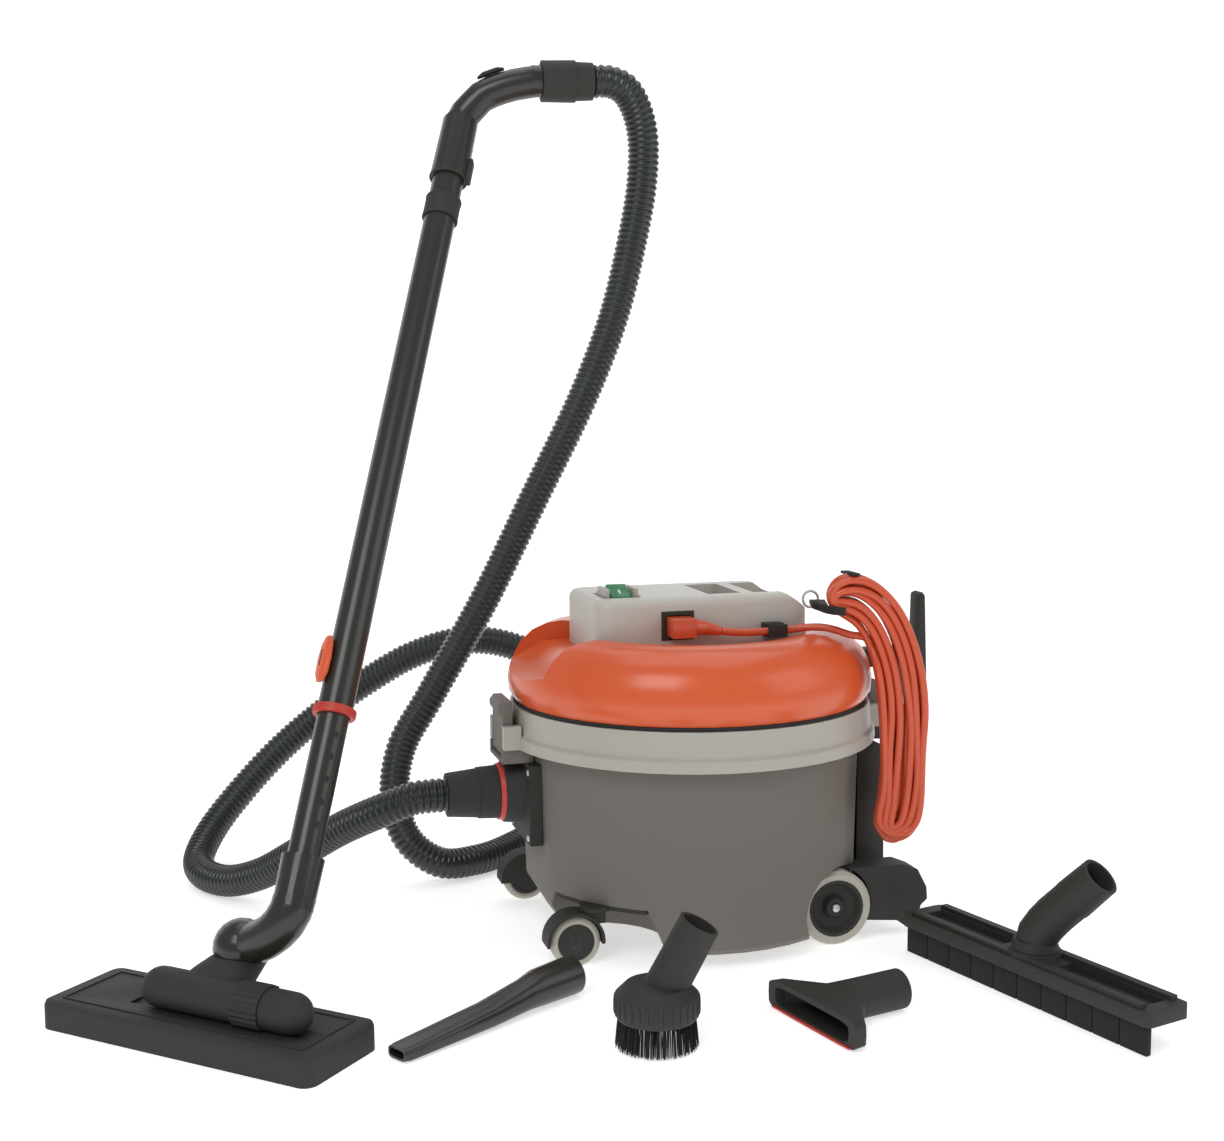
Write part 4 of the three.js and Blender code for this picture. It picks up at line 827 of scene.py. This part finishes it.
def add_switch_pieces():
    """The rocker's tilted cap with a pale mark on it, and a guard at each end."""
    slope = np.array([0.0, math.cos(ROCKER_TILT), math.sin(ROCKER_TILT)])
    lift = np.array([0.0, -math.sin(ROCKER_TILT), math.cos(ROCKER_TILT)])
    axes = [np.array([1.0, 0.0, 0.0]), slope, lift]
    cap = merged("rocker_cap", [box_arrays(ROCKER_SEAT, (0.0215, 0.0270, 0.0085), axes)])
    place(finish_edges(cap, 0.0012, 3), "rocker", "green_plastic")
    guards = []
    for x in (-0.0990, -0.0690):
        guards.append(box_arrays([x, -0.0220, 0.3560 - TUB_LIFT], (0.0045, 0.0340, 0.0140)))
    place(finish_edges(merged("switch_guards", guards), 0.0014, 3), "head", "grey_plastic")
    where = ROCKER_SEAT + lift * 0.0043 - slope * 0.003
    mark = merged("rocker_mark", [block_arrays(where, (0.0020, 0.0080, 0.0004), axes, 5, 7, 16)])
    pale = plain_material("mark_white", (0.8, 0.8, 0.78), 0.45, 0.05, 900, 0.02, 0.0)
    place(mark, "rocker", "console_plastic", material=pale)


def build_fittings():
    """Screws, flutes, strain-relief ribs, hubs, the plate's border and the switch's pieces."""
    add_plate_screws()
    add_skirt_flutes()
    add_relief_ribs()
    add_hub_pieces()
    add_plate_ridge()
    add_switch_pieces()


# ---------- the frame's nodes ----------
SHARP_EDGE = 34  # degrees between faces
WELD_DISTANCE = 2e-6
# Nodes with square edges, and how far those are rounded.
ROUNDED_EDGES = {
    "cord_hook": 0.0022,
    "cord_connector": 0.0030,
    "power_socket": 0.0009,
    "front_latch": 0.0014,
    "rear_latch": 0.0014,
    "cord_clip": 0.0009,
    "floor_brush": 0.0010,
    "inlet_socket": 0.0012,
    "rear_panel": 0.0012,
}


def geometry_group(name):
    """An empty geometry-nodes group with its start and end nodes."""
    group = bpy.data.node_groups.new(name, "GeometryNodeTree")
    group.interface.new_socket(name="Geometry", in_out="INPUT", socket_type="NodeSocketGeometry")
    group.interface.new_socket(name="Geometry", in_out="OUTPUT", socket_type="NodeSocketGeometry")
    return group, add_node(group, "NodeGroupInput"), add_node(group, "NodeGroupOutput")


def welding_group():
    """Geometry nodes that join a node's separate facets along their shared edges."""
    group, start, end = geometry_group("Weld facets")
    plain = add_node(group, "GeometryNodeRemoveAttribute", {"Name": "custom_normal"})
    weld = add_node(group, "GeometryNodeMergeByDistance", {"Distance": WELD_DISTANCE})
    link = group.links.new
    link(start.outputs[0], plain.inputs["Geometry"])
    link(plain.outputs["Geometry"], weld.inputs["Geometry"])
    link(weld.outputs["Geometry"], end.inputs[0])
    return group


def smoothing_group():
    """Geometry nodes that shade a surface smooth, except at sharp edges."""
    group, start, end = geometry_group("Soft shading")
    faces = add_node(group, "GeometryNodeSetShadeSmooth", domain="FACE")
    edges = add_node(group, "GeometryNodeSetShadeSmooth", domain="EDGE")
    edges.inputs["Shade Smooth"].default_value = False
    angle = add_node(group, "GeometryNodeInputMeshEdgeAngle")
    sharp = add_node(group, "FunctionNodeCompare", operation="GREATER_THAN")
    sharp.inputs["B"].default_value = math.radians(SHARP_EDGE)
    link = group.links.new
    link(start.outputs[0], faces.inputs["Geometry"])
    link(faces.outputs["Geometry"], edges.inputs["Geometry"])
    link(angle.outputs["Unsigned Angle"], sharp.inputs["A"])
    link(sharp.outputs["Result"], edges.inputs["Selection"])
    link(edges.outputs["Geometry"], end.inputs[0])
    return group


def paint_nodes():
    """Gives every node of the frame soft shading and the material of its slot."""
    slots = {row["node"]: row["material_slot"] for row in frame["record"]["subparts"]}
    welding, smoothing = welding_group(), smoothing_group()
    for name, node in frame["nodes"].items():
        node.data.materials.clear()
        node.data.materials.append(finish_of(slots[name]))
        node.modifiers.new("weld", "NODES").node_group = welding
        if name in ROUNDED_EDGES:
            finish_edges(node, ROUNDED_EDGES[name], 3)
        node.modifiers.new("shading", "NODES").node_group = smoothing


# ---------- stage ----------
FLOOR_START, FLOOR_END = -6, 5
BEND_RADIUS = 1.5
WALL_TOP = 6.0
BACKDROP_GLOW = 0.55
SKY_LIGHT = 0.40  # how strongly the sky lights the part
SKY_SEEN = 1.0  # how strongly the camera sees it
LIGHT_LEVEL = 0.62  # share of the stated powers
LIGHT_AIM = Vector((-0.1, 0, 0.3))
# name, place, side of the square, share of the key light's power
LIGHTS = [
    ("key", (-1.9, -2.3, 2.8), 1.8, 1.0),
    ("fill", (2.6, -1.9, 1.9), 2.2, 0.45),
    ("top", (0.2, 0.6, 3.2), 2.6, 0.6),
]
CAMERA_PLACE = (-0.540, -1.6415, 0.558)
CAMERA_WAY = (0.266, 0.957, -0.114)
CAMERA_ROLL = -0.006
SENSOR_WIDTH = 36
FOCAL_LENGTH = 48.5


def build_backdrop():
    """A pale sheet: a level floor, a quarter circle and an upright wall."""
    bend = np.linspace(0, math.pi / 2, 10)[1:]
    bend_end = FLOOR_END + BEND_RADIUS
    floor = np.linspace(FLOOR_START, FLOOR_END, 12)
    y = np.concatenate([floor, FLOOR_END + BEND_RADIUS * np.sin(bend), [bend_end]])
    z = np.concatenate([np.zeros(12), BEND_RADIUS * (1 - np.cos(bend)), [WALL_TOP]]) - TUB_LIFT
    x = np.broadcast_to([-8.0, 8.0], (len(y), 2))
    points = np.stack([x, np.repeat(y[:, None], 2, 1), np.repeat(z[:, None], 2, 1)], -1)
    sweep = mesh_object("backdrop", points.reshape(-1, 3), grid_faces(len(y), 2, False))
    pale = plain_material("backdrop_pale", (0.9, 0.9, 0.895), 0.8, 0.02, 40, 0.01, 0.0)
    shader = pale.node_tree.nodes["Principled BSDF"]
    shader.inputs["Emission Color"].default_value = (1, 1, 1, 1)
    shader.inputs["Emission Strength"].default_value = BACKDROP_GLOW
    sweep.data.materials.append(pale)


def build_lights(key_power):
    """Three square soft lights that all aim at one point."""
    for name, where, size, share in LIGHTS:
        light = bpy.data.lights.new(name, "AREA")
        light.shape = "SQUARE"
        light.size = size
        light.energy = key_power * share * LIGHT_LEVEL
        made = bpy.data.objects.new(name, light)
        made.location = where
        made.rotation_euler = (LIGHT_AIM - Vector(where)).to_track_quat("-Z", "Y").to_euler()
        bpy.context.scene.collection.objects.link(made)


def build_sky():
    """A pale sky, brighter to the camera than to the part."""
    world = bpy.data.worlds.new("studio")
    world.use_nodes = True
    tree = world.node_tree
    sky = tree.nodes["Background"]
    sky.inputs["Color"].default_value = (0.95, 0.97, 1.0, 1)
    seen = add_node(tree, "ShaderNodeLightPath")
    strength = add_node(tree, "ShaderNodeMapRange", {"To Min": SKY_LIGHT, "To Max": SKY_SEEN})
    tree.links.new(seen.outputs["Is Camera Ray"], strength.inputs["Value"])
    tree.links.new(strength.outputs["Result"], sky.inputs["Strength"])
    bpy.context.scene.world = world
    bpy.context.scene.view_settings.view_transform = "Standard"


def build_stage(key_power):
    """The backdrop, the lights and the sky."""
    build_backdrop()
    build_lights(key_power)
    build_sky()


def build_camera():
    """The camera, from its place, its way and its roll."""
    camera = bpy.data.cameras.new("camera")
    camera.sensor_width = SENSOR_WIDTH
    camera.sensor_fit = "HORIZONTAL"
    camera.lens = FOCAL_LENGTH
    made = bpy.data.objects.new("camera", camera)
    way = Vector(CAMERA_WAY).normalized()
    right = way.cross(Vector((0, 0, 1))).normalized()
    up = right.cross(way)
    turn = Matrix((right, up, -way)).transposed().to_4x4()
    roll = Matrix.Rotation(CAMERA_ROLL, 4, "Z")
    made.matrix_world = Matrix.Translation(CAMERA_PLACE) @ turn @ roll
    bpy.context.scene.collection.objects.link(made)
    bpy.context.scene.camera = made


# ---------- add-on ----------
class VacuumSettings(bpy.types.PropertyGroup):
    """Sizes that the pieces are made from."""

    hose_pitch: bpy.props.FloatProperty(
        name="Hose pitch", description="Length of one corrugation", default=0.0066, unit="LENGTH"
    )
    hose_depth: bpy.props.FloatProperty(
        name="Hose depth", description="Depth of a corrugation's groove", default=0.0026, unit="LENGTH"
    )
    key_power: bpy.props.FloatProperty(name="Key light", description="Power of the key light", default=70.0)


def operator(identity, label, doc, build):
    """An operator class that runs one build function."""

    def execute(self, context):
        build(context.scene.vacuum)
        return {"FINISHED"}

    return type(
        "VACUUM_OT_" + identity,
        (bpy.types.Operator,),
        {"bl_idname": "vacuum." + identity, "bl_label": label, "__doc__": doc, "execute": execute},
    )


STEPS = [
    operator("camera", "Camera", "Adds the camera", lambda s: build_camera()),
    operator("hose", "Hose", "Adds the corrugated hose", lambda s: build_hose(s.hose_pitch, s.hose_depth)),
    operator("cord", "Mains cord", "Adds the mains cord with its hank", lambda s: build_cord()),
    operator("strap", "Strap", "Adds the hank's strap", lambda s: build_strap()),
    operator("wand", "Wand", "Adds the wand's small fittings", lambda s: build_wand()),
    operator("bristles", "Bristles", "Adds the brushes' tufts", lambda s: build_bristles()),
    operator("fittings", "Fittings", "Adds screws, ribs and caps", lambda s: build_fittings()),
    operator("materials", "Materials", "Paints the frame's nodes", lambda s: paint_nodes()),
    operator("stage", "Stage", "Adds the floor and lights", lambda s: build_stage(s.key_power)),
]


class VACUUM_PT_panel(bpy.types.Panel):
    """Buttons for every step."""

    bl_label = "Vacuum"
    bl_idname = "VACUUM_PT_panel"
    bl_space_type = "VIEW_3D"
    bl_region_type = "UI"
    bl_category = "Vacuum"

    def draw(self, context):
        settings = context.scene.vacuum
        for name in ("hose_pitch", "hose_depth", "key_power"):
            self.layout.prop(settings, name)
        for step in STEPS:
            self.layout.operator(step.bl_idname)


CLASSES = [VacuumSettings, *STEPS, VACUUM_PT_panel]


def register():
    """Registers the classes and the scene's settings."""
    for kind in CLASSES:
        bpy.utils.register_class(kind)
    bpy.types.Scene.vacuum = bpy.props.PointerProperty(type=VacuumSettings)


def unregister():
    """Takes the settings and the classes away again."""
    del bpy.types.Scene.vacuum
    for kind in reversed(CLASSES):
        bpy.utils.unregister_class(kind)


def main():
    """Runs every step and writes the sizes of the frame and of the finished scene."""
    register()
    for step in STEPS:
        getattr(bpy.ops.vacuum, step.bl_idname.split(".")[1])()
    bpy.context.view_layer.update()


if __name__ == "__main__":
    main()
